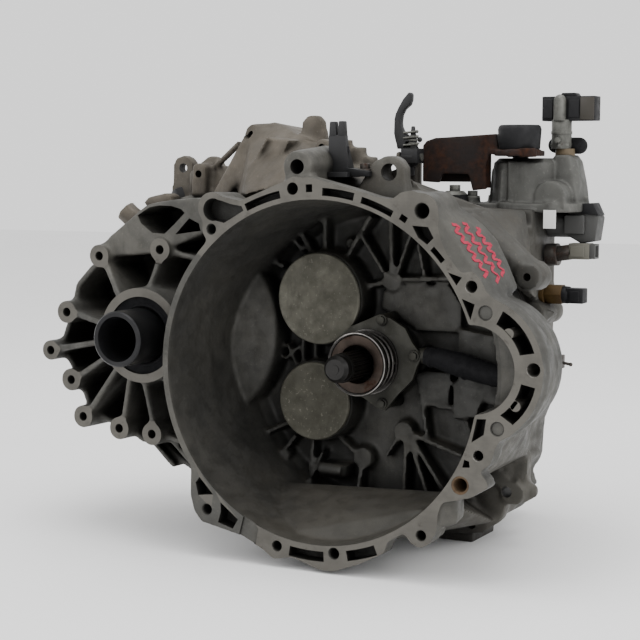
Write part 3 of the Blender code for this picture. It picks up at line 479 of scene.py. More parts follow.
def steel(name, tone, rough=0.3, rust=0.0, metallic=1.0, scale=60.0):
    """Turned or forged steel, with rust blooms where rust is over 0, and painted shade in its corners."""
    nodes = Nodes(name, roughness=rough, metallic=metallic)
    patch = nodes.ramp(nodes.noise(scale, 5.0, 0.6), 0.35, 0.7)
    base = nodes.mix(patch, tone, tuple(c * 0.6 for c in tone))
    if rust:
        bloom = nodes.ramp(nodes.noise(scale * 0.7, 8.0, 0.7), 0.62 - 0.3 * rust, 0.72)
        grain = nodes.ramp(nodes.noise(scale * 8, 4.0, 0.6), 0.3, 0.7)
        oxide = nodes.mix(grain, (0.062, 0.023, 0.011), (0.02, 0.01, 0.007))
        base = nodes.mix(bloom, base, oxide)
        nodes.rough(nodes.maths("ADD", nodes.maths("MULTIPLY", bloom, 0.5), rough))
        nodes.shader.inputs["Metallic"].default_value = metallic * (1 - 0.7 * rust)
        nodes.shader.inputs["Specular IOR Level"].default_value = 0.25
    # painted shade: ambient occlusion darkens corners towards a darker copy of the tone
    base = nodes.mix(nodes.hollow(0.008, 0.2, 0.8), tuple(c * 0.15 for c in tone), base)
    nodes.colour(base)
    nodes.bump((nodes.noise(scale * 12, 3.0), 0.25 + 0.3 * rust, 0.0004))
    return nodes.material


def plastic(name, tone, rough=0.5, dust=0.25):
    """Moulded plastic or rubber with settled dust, a fine grain and painted shade in its corners."""
    nodes = Nodes(name, roughness=rough, specular=0.22)
    film = nodes.ramp(nodes.noise(45.0, 6.0, 0.65), 0.45, 0.75)
    dusty = tuple(c * 0.8 + 0.012 for c in tone)
    base = nodes.mix(nodes.maths("MULTIPLY", film, dust * 2), tone, dusty)
    # painted shade: ambient occlusion darkens corners towards a darker copy of the tone
    base = nodes.mix(nodes.hollow(0.008, 0.2, 0.8), tuple(c * 0.3 for c in tone), base)
    nodes.colour(base)
    nodes.rough(nodes.ramp(nodes.noise(160.0, 3.0), 0.3, 0.7, rough - 0.08, min(1.0, rough + 0.12)))
    nodes.bump((nodes.noise(1400.0, 2.0), 0.15, 0.0003))
    return nodes.material


GREY_OXIDE = ((0.052, 0.051, 0.046), (0.085, 0.081, 0.07))
GREY_CAST = cast_aluminium("bell_cast", *GREY_OXIDE, (0.011, 0.01, 0.008), shade_and_dust_inside=True)
BEIGE_CAST = cast_aluminium("case_cast", (0.07, 0.061, 0.048), (0.1, 0.085, 0.066), (0.026, 0.022, 0.018),
                            far_side=GREY_OXIDE)
TOWER_CAST = cast_aluminium("tower_cast", (0.084, 0.084, 0.077), (0.125, 0.123, 0.113), (0.018, 0.017, 0.015))
OLIVE_CAST = cast_aluminium("release_cast", (0.036, 0.035, 0.028), (0.056, 0.054, 0.043),
                            (0.012, 0.011, 0.009), 0.4)
FLANGE_FACE = machined("flange_face", (0.1, 0.094, 0.082), (0.022, 0.018, 0.014), metallic=0.6)
BRIGHT_HOLE = machined("threaded_hole", (0.26, 0.25, 0.23), (0.03, 0.025, 0.02), 0.35, 0.9)
CAP_METAL = cast_aluminium("cap_disc", (0.074, 0.071, 0.056), (0.18, 0.173, 0.142), (0.03, 0.028, 0.022), 0.7)
SHAFT_STEEL = steel("shaft_steel", (0.16, 0.155, 0.15), 0.35)
GEAR_STEEL = steel("gear_steel", (0.3, 0.3, 0.31), 0.3)
BRIGHT_STEEL = steel("bright_steel", (0.5, 0.5, 0.49), 0.22)
RING_STEEL = steel("ring_steel", (0.22, 0.21, 0.2), 0.3, scale=120.0)
OIL_STEEL = steel("oily_steel", (0.012, 0.011, 0.01), 0.42, metallic=0.5, scale=120.0)
DARK_STEEL = steel("dark_steel", (0.013, 0.013, 0.014), 0.36, metallic=0.6)
RUSTY_STEEL = steel("rusty_steel", (0.012, 0.008, 0.007), 0.6, rust=0.8, metallic=0.4, scale=26.0)
RUSTY_BOLT = steel("rusty_bolt", (0.08, 0.073, 0.066), 0.45, rust=0.45, scale=90.0)
RUST = steel("rust", (0.085, 0.055, 0.03), 0.7, rust=0.5, metallic=0.2, scale=120.0)
RING_BRONZE = steel("worn_ring", (0.05, 0.038, 0.031), 0.42, rust=0.25, scale=80.0)
BLACK_STEEL = steel("black_steel", (0.006, 0.006, 0.007), 0.55, metallic=0.1)
IRON = steel("cast_iron", (0.06, 0.057, 0.055), 0.6, metallic=0.6)
BLACK_PLASTIC = plastic("black_plastic", (0.008, 0.008, 0.009), 0.55)
GREY_PLASTIC = plastic("grey_plastic", (0.06, 0.06, 0.058), 0.55)
PALE_PLASTIC = plastic("pale_plastic", (0.13, 0.125, 0.105), 0.5)
RUBBER = plastic("rubber", (0.005, 0.005, 0.006), 0.8, 0.1)
TAN_PLASTIC = plastic("tan_plastic", (0.1, 0.075, 0.045), 0.5)
BRASS = steel("brass", (0.24, 0.15, 0.06), 0.4, rust=0.2)
DULL_BRASS = steel("dull_brass", (0.075, 0.045, 0.015), 0.5, rust=0.3, metallic=0.6)
DULL_METAL = steel("dull_metal", (0.13, 0.13, 0.118), 0.5, rust=0.1, metallic=0.6, scale=110.0)
SMOKY_PLASTIC = plastic("smoky_plastic", (0.04, 0.036, 0.03), 0.4)
STICKER = plastic("blank_sticker", (0.7, 0.7, 0.68), 0.6, 0.05)
MARKER = plastic("paint_marker", (0.32, 0.022, 0.05), 0.6, 0.1)


# ---- bell housing --------------------------------------------------------------------------------
FLANGE_OUTLINE = (
    [(-78, 156), (-60, 163), (-40, 171), (-22, 177), (-5, 178), (11, 174), (36, 168), (60, 161),
     (76, 159), (84, 165), (95, 167), (106, 163), (115, 154), (118, 146), (117, 136), (120, 124),
     (126, 111), (136, 99), (146, 90), (160, 82), (171, 76)]
    + arc(STARTER, 65, 60, -48, 14)
    + [(189, -42), (178, -48), (175, -56), (171, -69), (160, -76), (167, -82), (170, -89), (152, -100),
       (140, -103), (126, -106), (122, -117), (121, -133), (115, -144), (105, -150), (96, -146),
       (90, -138), (80, -141), (73, -148), (70, -158), (45, -171), (18, -181), (5, -181), (-24, -172),
       (-44, -176), (-55, -168), (-79, -157), (-122, -148), (-130, -138), (-134, -123), (-133, -93)]
    + arc(INPUT, 162.0, -144, -232, 22)
    + [(-117, 132), (-120, 142), (-117, 152), (-110, 158), (-98, 160), (-87, 158)])
# holes of the engine face: angle, distance from the shaft, boss radius, hole radius, bright thread
FLANGE_HOLES = [
    (130, 169, 10, 4.6, False), (97, 169, 11, 6.5, False), (55, 182, 15, 6.6, False),
    (29.3, 173.5, 11, 5.0, True), (20.9, 176, 10, 6.0, False), (4.4, 209.5, 10, 5.6, True),
    (-11.8, 180.6, 10, 5.8, False), (-21.2, 171, 9, 4.4, True), (-32, 168.5, 12, 7.6, False),
    (-52.5, 174, 9, 4.6, False), (-83.3, 165, 9, 5.0, False), (-103.8, 168, 9, 4.6, False),
    (-130.5, 178.5, 10, 5.0, False)]
PLUGGED_HOLES = (4, 6)
OFF_CENTRE_ANGLE = 97  # the hole of this boss is drilled on its own, a little off its centre
# pockets cast into the engine face: from angle, to angle, inner and outer distance from the shaft
FLANGE_POCKETS = [
    (102.5, 115.5, 162.5, 169.5), (76.5, 87.5, 161.5, 168.5), (62.5, 73.8, 161.5, 167.5),
    (91.0, 93.2, 164.5, 171.5), (57.4, 59.8, 164.0, 169.5), (40.3, 45.6, 161.0, 166.0),
    (-99.2, -87.0, 163.5, 173.0), (-78.8, -68.5, 163.0, 172.5)]
POCKET_OUTLINES = [
    [(55.0, 166.3), (50.8, 174.6), (47.4, 171.0), (47.6, 162.5), (51.3, 161.5)],
    [(36.7, 161.5), (33.0, 170.0), (31.9, 162.0)],
    [(27.5, 160.8), (24.3, 169.7), (20.4, 161.0)],
    [(-10.6, 160.6), (-9.9, 169.0), (-14.6, 170.0), (-18.2, 161.2)],
    [(-24.3, 160.8), (-24.0, 165.5), (-25.6, 168.4), (-26.8, 162.3)],
    [(-139.6, 162.5), (-139.1, 169.5), (-135.6, 175.5), (-133.8, 168.5), (-132.0, 162.5)],
    [(-128.3, 162.5), (-119.9, 164.0), (-120.0, 175.0), (-125.2, 180.0), (-126.3, 170.0)]]
OVAL_POCKET = [(-228, 139), (-221, 143), (-214, 147), (-203, 149), (-188, 148.6), (-177, 145.6), (-173, 142),
               (-185, 131), (-197, 121), (-211, 122), (-224, 131)]


def starter_pockets():
    """Two curved pockets in the starter lobe."""
    upper = arc(STARTER, 59, 62, 17, 7) + arc(STARTER, 46, 19, 62, 6)
    lower = arc(STARTER, 59, -12, -50, 6) + arc(STARTER, 46, -55, -12, 6)
    return upper, lower


def bell_shape():
    """Cup of the bell and the bulge of the ring gear's chamber."""
    shape = Shape()
    shape.turned([(BELL_R, RAW_FACE), (BELL_R + 6, RAW_FACE), (BELL_R + 6, 20), (BELL_R + 1, 60), (152, 156),
                  (14, 156), (14, 149), (140, 149), (146, 140)], INPUT, 128)
    shape.turned([(52, 104), (97, 118), (100, 121), (101, 156), (52, 156)], DIFF, 128)
    return shape


def flange_shape(shape):
    """Engine flange with its bosses, and the gussets that run back from them."""
    shape.prism(FLANGE_OUTLINE, (RAW_FACE, 20))
    for angle, distance, radius, _, _ in FLANGE_HOLES:
        shape.boss(polar(distance, angle), (RAW_FACE, 40), radius, radius - 1)
    shape.boss(polar(182, 55), (RAW_FACE, 46), 15.5, 17, sides=48)
    shape.hull((104, 1, 160), (116, 1, 152), (117, 1, 136), (126, 1, 111), (146, 1, 90), (170, 1, 77),
               (108, 57, 159), (118, 57, 151), (140, 57, 136), (154, 57, 122), (164, 57, 103), (174, 57, 80),
               (90, 57, 140), (130, 57, 92), (150, 57, 70), (96, 1, 146), (118, 1, 108), (140, 1, 80))
    shape.boss((-108, 149), (RAW_FACE, 46), 15, 14)
    shape.hull((-119, 4, 140), (-116, 4, 153), (-98, 4, 159), (-75, 4, 154), (-70, 4, 146), (-112, 50, 140),
               (-110, 50, 152), (-96, 50, 156), (-76, 50, 152), (-100, 50, 130), (-100, 4, 130))
    shape.rod((-22.5, 8, 187), (-27, 78, 190), 14.5, 17, 48)
    shape.hull((-36, 8, 170), (-9, 8, 170), (-45, 70, 168), (-10, 70, 168), (-35, 8, 186), (-9.5, 8, 186),
               (-44, 70, 196), (-14, 70, 196))
    shape.hull((122, 6, -108), (138, 6, -106), (137, 6, -126), (128, 6, -130), (118, 6, -128),
               (122, 30, -108), (136, 30, -106), (135, 30, -124), (118, 30, -128))


def starter_shape(shape):
    """Round lobe that takes the starter, and its web to the bell."""
    shape.boss(STARTER, (RAW_FACE, 10), 63, 67, sides=96)
    shape.boss(STARTER, (9, 62), 67, 61, sides=96)
    shape.hull((150, 5, -50), (212, 5, -18), (215, 5, 30), (140, 110, -70), (168, 110, -30),
               (172, 110, 40), (140, 110, 60), (150, 5, 70))


def casing_level(distance):
    """Depth of the cover's web at a distance from the differential's axis."""
    if distance < 107:
        return 110 + max(distance - 51, 0) * 18 / 56
    return 128 + distance - 107


COVER_BOSSES = [(-198, 106), (-270, 98), (-311, 40), (-332, 0), (-307, -29), (-293, -66), (-249, -75),
                (-210, -78)]
COVER_RIM = [(-198, 108), (-270, 101), (-291, 84), (-309, 66), (-314, 42), (-322, 24), (-330, 2),
             (-319, -14), (-309, -27), (-301, -48), (-294, -63), (-272, -71), (-249, -76), (-232, -88),
             (-208, -84)]


def cover_shape(shape):
    """Differential cover: hub, radial ribs, bosses and the rim wall through them."""
    shape.turned([(36, 22), (46.5, 22), (47.5, 70), (51, 112), (107, 128), (CHAMBER_R - 1, 158),
                  (CHAMBER_R - 1, 169.5), (60, 169.5), (36, 160)], DIFF, 128)
    for x, z in COVER_BOSSES:
        direction = math.degrees(math.atan2(z - DIFF[1], x - DIFF[0]))
        near = polar(40, direction, DIFF)
        level = casing_level(math.hypot(x - DIFF[0], z - DIFF[1]))
        shape.web(near, (x, z), (29, 118), 5.5, (54, level), 6.5)
        shape.boss((x, z), (46, level + 6), *((10.2, 10.2) if x < -320 else (11.4, 13.0)))
    for start, end, front in ((polar(42, -128, DIFF), (-283, -57), 58), (polar(44, 30, DIFF), (-150, 62), 44),
                              ((-210, -78), (-146, -96), 60), ((-210, -78), (-160, -124), 70),
                              ((-198, 106), (-140, 92), 56), ((-249, -76), (-205, -116), 82),
                              (polar(44, -62, DIFF), (-164, -62), 44)):
        shape.web(start, end, (front if start[0] < -190 else 30, 150), 5.5, (front, 150))
    shape.wall(COVER_RIM, (66, 160), 6)
    shape.wall([(-232, -88), (-206, -108), (-176, -124), (-150, -138)], (92, 160), 7)
    shape.wall([(-175, -126), (-163, -108), (-152, -96)], (70, 150), 5)
    for corners in (((-275, 106), (-262, 118), (-245, 129), (-228, 141), (-219, 149), (-206, 152),
                     (-185, 155), (-154, 157), (-124, 154), (-124, 134), (-152, 122), (-198, 104)),
                    ((-275, 106), (-245, 129), (-198, 112), (-198, 102), (-272, 96))):
        shape.plate(corners, (57, 160))
    shape.wall([(-198, 104), (-160, 98), (-140, 92)], (56, 150), 6)
    shape.hull((-166, 31, 12), (-166, 31, 36), (-156, 31, 8), (-156, 31, 40), (-158, 150, -10),
               (-158, 150, 56))


def inner_shape(shape):
    """Bosses, ribs and pads on the back wall of the bell."""
    for centre, radius in ((UPPER, 46), (LOWER, 40)):
        shape.turned([(radius - 9, 120.6), (radius - 1.5, 120.6), (radius, 122), (radius + 2, BACK_WALL),
                      (radius - 9, BACK_WALL)], centre, 96)
        shape.boss(centre, (124, BACK_WALL), radius - 7)
    ribs = [((-84, 103), (-105, 130), 4.4), ((-75, 103), (-95, 141), 5.4), ((-60, 104), (-56, 152), 5.4),
            ((-37, 97), (-6, 140), 5), ((-105, 87), (-141, 103), 5), ((13, 84), (15, 148), 5),
            ((18, 82), (42, 138), 3.6), ((5, 84), (-17, 122), 3.6), ((24, 79), (104, 82), 4.4),
            ((48, 81), (44, 114), 3.6), ((-22, 69), (4, 75), 5), ((60, 80), (108, 100), 3.6),
            ((-99, -69), (-156, -97), 4.4), ((-92, -82), (-128, -128), 4.4), ((-73, -82), (-73, -137), 4.4),
            ((-48, -76), (-28, -93), 4.4), ((-62, -97), (-70, -121), 3.6), ((-135, -82), (-150, -65), 4.4),
            ((-84, -10), (-84, 16), 5), ((-70, -10), (-70, 14), 5), ((-102, 10), (-86, -20), 3.6),
            ((-105, -6), (-88, 8), 3.6), ((29, -78), (31, -142), 4.4), ((33, -77), (57, -131), 4.4),
            ((35, -75), (72, -122), 4.4), ((36, -72), (92, -88), 4.4), ((42, -12), (52, -72), 4.4),
            ((79, -18), (97, -66), 4), ((46, -40), (80, -44), 4), ((-19, -110), (-20, -140), 4.4),
            ((8, -96), (20, -78), 3.6)]
    for start, end, width in ribs:
        end_front = 126 if math.hypot(*end) > 120 else 134
        shape.web(start, end, (134, BACK_WALL), width, (end_front, BACK_WALL))
    for x, z, radius, front in ((13, 77, 10, 136), (26, -70, 10, 136), (-18, -100, 10.5, 136),
                                (-105, -104, 6, 132), (-34, 112, 5, 138), (-94, 141, 5.5, 124),
                                (-128, -128, 5.5, 122), (-141, 103, 5, 128)):
        shape.boss((x, z), (front, BACK_WALL), radius, radius + 2)
    shape.rod((-60, 126, -112), (-34, 126, -113), 6.5, sides=24)
    shape.plate(((-62, -108), (-31, -107), (-32, -120), (-62, -122)), (127, 150))
    shape.turned([(20, 140), (36, 140), (44, BACK_WALL), (20, BACK_WALL)], INPUT, 64)
    shape.hull(*[(x, y, z) for x, z, front in ((2, 66, 139), (27, 73, 139), (72, 75, 138), (85, 56, 137),
                                               (85, 30, 137), (36, 30, 138), (0, 50, 139))
                 for y in (front, BACK_WALL)])
    shape.plate(((84, 34), (150, 24), (150, -44), (84, -30)), (133, BACK_WALL))
    shape.plate(((46, -9), (76, -9), (74, -42), (46, -41)), (135, BACK_WALL))
    shape.plate(((79, -18), (113, -25), (104, -50), (80, -54)), (132, BACK_WALL))
    shape.hull((-30, 22, -152), (44, 22, -152), (6, 16, -158), (-62, 50, -140), (-48, 40, -146),
               (84, 50, -126),
               (-84, 100, -124), (-52, 104, -124), (-4, 106, -126), (60, 104, -124), (92, 92, -116),
               (-84, 150, -140), (80, 150, -140))


def bell_cutters():
    """Machining cuts: the milled faces, the bores, the cast pockets, the holes and their chamfers."""
    face = Shape().block((-400, -30, -260), (400, 0, 300))
    centred = [(polar(distance, angle), hole) for angle, distance, _, hole, _ in FLANGE_HOLES
               if angle != OFF_CENTRE_ANGLE]
    holes = Shape()
    for place, hole in centred:
        holes.boss(place, (-4, 34), hole, sides=40)
    for x, z in COVER_BOSSES:
        holes.boss((x, z), (40, 76), 4.3, sides=28)
    holes.boss((-22.5, 187), (-10, 60), 6.8, sides=40)
    holes.prism(arc((-106.5, 147.5), 10.5, 60, 285, 14) + [(-95, 135.5), (-88, 139), (-74, 147), (-76, 151),
                                                          (-88, 153), (-98, 156)], (-10, 15))
    holes.boss(polar(169, 97.8), (-4, 30), 5.6, sides=32)
    pockets = Shape()
    for start, end, inner, outer in FLANGE_POCKETS:
        outline = arc(INPUT, inner, start, end, 6) + arc(INPUT, outer, end, start, 6)
        pockets.prism(outline, (-4, 15.5))
    for points in POCKET_OUTLINES:
        pockets.prism([polar(radius, angle) for angle, radius in points], (-4, 15.5))
    for outline in starter_pockets():
        pockets.prism(outline, (-4, 30))
    pockets.plate(OVAL_POCKET, (50, 118))
    pockets.plate(((-168, 137), (-157, 132), (-155, 125), (-169, 124), (-184, 121)), (50, 104))
    pockets.prism([(-75.5, -137), (-81, -158), (-63, -164), (-60, -149), (-66, -141)], (-6, 1.6))
    chamfers = Shape()
    for place, hole in centred:
        chamfers.boss(place, (-1, 1.0), hole + 1.5, hole, sides=40)
    for x, z in COVER_BOSSES:
        chamfers.boss((x, z), (40, 51.6), 7.0, 4.2, sides=28)
    cover_faces = Shape()
    for x, z in COVER_BOSSES:
        cover_faces.boss((x, z), (40, 50), 14, sides=24)
    hub = Shape().boss(DIFF, (10, 25), 47.6, sides=96)
    bore = Shape().boss(DIFF, (10, 162), 38, sides=96)
    return face, cover_faces, hub, bore, pockets, holes, chamfers


CAST_SLOT, MILLED_SLOT, THREAD_SLOT = range(3)
MILLED_LEVELS = (0.0, 25.0, 50.0)  # y of the milled faces, each taken within LEVEL_REACH
LEVEL_REACH = 0.12
FACING_FRONT = -0.985              # y of the normal of a face that looks at the engine
THREAD_SPAN = (0.05, 34.5)         # y span of a bright thread, which reaches THREAD_REACH past its hole
THREAD_REACH = 2.4
UNMILLED_X = -125                  # beyond it the face keeps its cast skin, within UNMILLED_Z of the shaft
UNMILLED_Z = 90


def make_bell():
    """Bell casting, milled and drilled, with its faces painted by how they were made."""
    shape = bell_shape()
    flange_shape(shape)
    starter_shape(shape)
    cover_shape(shape)
    bell = cast(shape, "bell_casting", 2.1, 0)
    opening = Shape().turned([(0, -20), (BELL_R + 1.2, -20), (BELL_R, 0), (147.5, 138), (140, 149),
                              (0, 149)], INPUT, 144, closed=False)
    carve(bell, opening, Shape().boss(STARTER, (-20, 56), 39, sides=72))
    inner = Shape()
    inner_shape(inner)
    join_shape(bell, inner)
    join_shape(bell, Shape().turned([(50, 103), (97, 117), (100, 120), (101, 156), (50, 156)], DIFF, 128))
    fused(bell, 2.0, 3)
    carve(bell, *bell_cutters())
    finish_faces(bell, [GREY_CAST, FLANGE_FACE, BRIGHT_HOLE])
    centres, normals = faces_of(bell)
    x, y, z = centres.T
    front = normals[:, 1] < FACING_FRONT
    for level in MILLED_LEVELS:
        paint(bell, front & (np.abs(y - level) < LEVEL_REACH), MILLED_SLOT)
    for angle, distance, _, hole, threaded in FLANGE_HOLES:
        if threaded:
            hole_x, hole_z = polar(distance, angle)
            near = np.hypot(x - hole_x, z - hole_z) < hole + THREAD_REACH
            paint(bell, near & (y > THREAD_SPAN[0]) & (y < THREAD_SPAN[1]), THREAD_SLOT)
    paint(bell, (x < UNMILLED_X) & (np.abs(z) < UNMILLED_Z) & (np.abs(y) < 1), CAST_SLOT)
    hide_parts("bell_housing")
    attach(bell, "housing")
    return bell


def make_flange_inserts():
    """Pips in the starter pockets, the rusty dowel sleeve and the plugs of two holes."""
    pips = Shape()
    for angle, distance in ((45, 46.6), (-36, 49.6)):
        x, z = polar(distance, angle, STARTER)
        pips.boss((x, z), (0.15, 30), 4.6, sides=32)
        corners = ((43, -6), (43, 6), (distance, -4.6), (distance, 4.6))
        pips.plate([polar(reach, angle + side, STARTER) for reach, side in corners], (0.15, 30))
    piece(pips.to_object("pocket_pips"), FLANGE_FACE, "housing", "cast_aluminium")
    x, z = polar(168.5, -32)
    dowel = Shape().turned([(6.0, 26), (6.0, 1.6), (6.6, 0.5), (7.9, 0.2), (8.6, 0.1), (8.6, 0.9), (7.6, 1.2),
                            (7.6, 26)], (x, z), 48)
    piece(dowel.to_object("dowel_sleeve"), RUST, "housing", "rusty_steel")
    plugs = Shape()
    for angle, distance, _, hole, _ in [FLANGE_HOLES[i] for i in PLUGGED_HOLES]:
        plugs.boss(polar(distance, angle), (1.8, 12), hole + 0.3, sides=40)
    piece(plugs.to_object("flange_plugs"), GREY_CAST, "housing", "cast_aluminium")


# ---- gear case -----------------------------------------------------------------------------------
def joint_outline(grow):
    """Outline of the case where it meets the bell."""
    points = arc(DIFF, CHAMBER_R + grow, 78, 262, 40)
    corner = 24.0 + grow
    for x, z, start, end in ((-96, -150, 215, 270), (96, -142, 270, 350), (118, 34, -10, 20),
                             (70, 127, 30, 95), (-150, 160, 95, 170)):
        points += arc((x, z), corner, start, end, 8)
    return points


def rear_outline(grow=0.0):
    """Outline of the case's rear box."""
    points = []
    corner = 30.0 + grow
    for x, z, start, end in ((-96, 96, 90, 165), (-104, -84, 180, 240), (-24, -140, 235, 290),
                             (64, -112, 290, 350), (74, 60, 0, 60), (10, 112, 50, 100)):
        points += arc((x, z), corner, start, end, 8)
    return points


# lugs of the case: x, z and the two ends in y
CASE_LUGS = [(-222, 176, 176, 200), (128, -128, 168, 190), (92, -160, 168, 190), (126, 118, 168, 190)]
# holes of the case: x, z, the two ends in y and the radius
CASE_HOLES = [(-254, 185, 176, 204, 4.9), (-215.5, 179, 140, 172, 3.8), (46.5, 182, 40, 80, 8.0),
              (-38, 205, 80, 105, 3.4), (-135, 218, 110, 140, 4.0), (172, 89, 70, 100, 3.6),
              (122, -127, 160, 200, 5.5), (86, -162, 160, 200, 5.0), (126, 118, 160, 195, 4.6)]
EAR = (-254, 185)


def case_body(shape):
    """Main wall, rear box and the dome over the differential."""
    shape.prism(joint_outline(-5.0), (170.6, 254))
    shape.prism(joint_outline(-0.5), (170.6, 182))
    shape.prism(rear_outline(), (248, 351.5))
    shape.prism(rear_outline(5.0), (258, 268))
    shape.prism([(-112, 150), (-112, -160), (30, -172), (122, -134), (117, -120), (124, -105), (127, -70),
                 (139, -40), (141, -12), (136, 20), (136, 146), (60, 148),
                 (0, 160)], (190, 258))
    shape.turned([(0, 230), (CHAMBER_R - 6, 230), (74, 260), (72, 272), (46, 273), (46, 291.5), (0, 291.5)],
                 DIFF, 96, closed=False)


def case_ribs(shape):
    """Feet, ribs of the dome, and the ribs and bearing bosses of the rear face."""
    for x in (-70, 60):
        shape.block((x - 22, 180, -184), (x + 22, 240, -150))
    for angle in range(100, 262, 18):
        shape.web(polar(46, angle, DIFF), polar(CHAMBER_R - 10, angle, DIFF), (236, 288), 6, (182, 234), 6)
    for x, z in ((-60, 58), (-62, -44), (0, 0)):
        shape.boss((x, z), (340, 351.8), 34, 31, sides=48)
    for start, end in (((-60, 58), (-120, 100)), ((-62, -44), (-125, -90)), ((0, 0), (100, 20)),
                       ((0, 0), (70, -110)), ((-62, -44), (-40, -165)), ((0, 0), (60, 100)),
                       ((-60, 58), (-40, 140)), ((-60, 58), (-134, 30)), ((-62, -44), (-134, -20))):
        shape.web(start, end, (340, 351.3), 6)
    for z in (-100, -40, 20, 80):
        shape.web((100, z), (136 if z > -90 else 128, z), (184, 256), 5, (184, 250), 5)
    for y in (196, 222):
        shape.block((-110, y, -168), (40, y + 6, -158))


def case_top(shape):
    """Raised roof at the upper left, its strut and the ears along the top."""
    shape.hull((-139, 130, 229), (-110, 126, 230), (-100, 118, 216), (-66, 112, 213), (-44, 100, 204),
               (-52, 52, 172), (-108, 60, 160), (-146, 112, 158), (-148, 172, 150), (-40, 172, 190),
               (-104, 172, 226), (-140, 172, 224))
    shape.hull((-180, 118, 157), (-156, 108, 156), (-133, 110, 184), (-125, 114, 212), (-136, 114, 222),
               (-180, 126, 157), (-156, 124, 156), (-128, 126, 212), (-137, 126, 221))
    shape.hull((-95, 92, 214), (-71, 90, 212), (-82, 88, 197), (-86, 84, 178), (-119, 92, 181),
               (-127, 98, 158),
               (-89, 84, 165), (-95, 130, 216), (-60, 130, 212), (-127, 130, 158), (-80, 130, 160))
    shape.web((-97, 215), (-118, 182), (86, 130), 3)
    shape.web((-118, 182), (-127, 156), (88, 130), 3)
    shape.web((-72, 212), (-84, 190), (82, 130), 3)
    shape.web((-84, 190), (-87, 164), (78, 130), 3)
    shape.rod((-134.5, 124, 219), (-134.5, 150, 219), 9.5)
    shape.hull((-139, 126, 226), (-112, 125, 230.5), (-103, 126, 227), (-100, 126, 219), (-118, 126, 215),
               (-135, 160, 222), (-112, 160, 228), (-102, 160, 224))
    shape.hull((-78, 116, 208), (-75, 116, 230), (-69, 116, 236), (-59, 116, 236), (-54, 116, 231),
               (-49, 116, 208), (-78, 128, 208), (-75, 128, 230), (-69, 128, 236), (-59, 128, 236),
               (-54, 128, 231), (-49, 128, 208))
    shape.rod((-38, 86, 205), (-38, 135, 205), 8)
    shape.hull((-70, 112, 213), (-40, 92, 208), (-34, 92, 198), (-60, 100, 190), (-50, 168, 205),
               (-20, 168, 190))
    shape.hull((-48, 60, 190), (0, 90, 186), (40, 90, 172), (100, 100, 140), (100, 172, 146), (30, 172, 160),
               (-50, 172, 196), (-40, 60, 168), (60, 60, 150))
    shape.boss((46, 181), (56, 72), 16)
    shape.hull((31, 56, 176), (62, 56, 178), (64, 56, 150), (10, 56, 160), (31, 72, 176), (62, 72, 178),
               (66, 72, 150), (10, 72, 160), (30, 58, 192), (28, 70, 192))
    shape.hull((28, 60, 180), (30, 60, 193), (46, 60, 196), (30, 110, 160), (62, 110, 160), (46, 74, 190))
    shape.rod((-6, 100, 176), (-6, 100, 205), 8)
    shape.rod((-14, 96, 176), (-14, 96, 212), 4)
    shape.rod((4, 104, 172), (4, 104, 196), 8)
    shape.block((1.4, 191.4, 140), (14, 196, 191.8))
    shape.block((-1, 171, 140), (4.3, 189, 201.6))
    shape.block((-12, 222, 140), (3.6, 228, 195))
    shape.block((4, 191.4, 140), (20.4, 196, 168))
    ear_top = [polar(13.0, angle, EAR) for angle in range(-20, 201, 20)]
    shape.plate(ear_top + [(-269, 150), (-238, 150)], (184, 196))
    shape.plate(((-269, 152), (-238, 152), (-264, 130), (-230, 130)), (178, 198))
    shape.plate(((-224, 186), (-221, 190), (-211, 190), (-207.5, 186), (-207, 156), (-225, 156)), (152, 186))
    shape.hull((-240, 172, 156), (-226, 172, 156), (-240, 172, 180), (-226, 164, 186), (-226, 180, 186),
               (-210, 180, 156))
    shape.hull((-207, 160, 156), (-172, 150, 160), (-207, 182, 187), (-202, 166, 186), (-178, 182, 188),
               (-170, 182, 150), (-206, 182, 150))
    shape.hull((-226, 172, 190), (-215, 172, 197.5), (-207, 172, 197), (-201, 172, 191), (-211, 172, 184),
               (-226, 184, 190), (-215, 184, 197.5), (-207, 184, 197), (-201, 184, 191), (-211, 184, 184))
    shape.rod((-203, 168, 187), (-160, 142, 210), 3.4)
    shape.rod((-262, 112, 128), (-278, 108, 143), 11.5, sides=6)
    shape.rod((-262, 112, 128), (-238, 150, 116), 14)
    shape.plate(((-274, 149), (-268, 155), (-247, 159.4), (-239, 157), (-236, 140), (-262, 136)), (136, 156))
    shape.hull((-268, 150, 150), (-240, 150, 156), (-236, 178, 140), (-262, 178, 130), (-236, 150, 130))


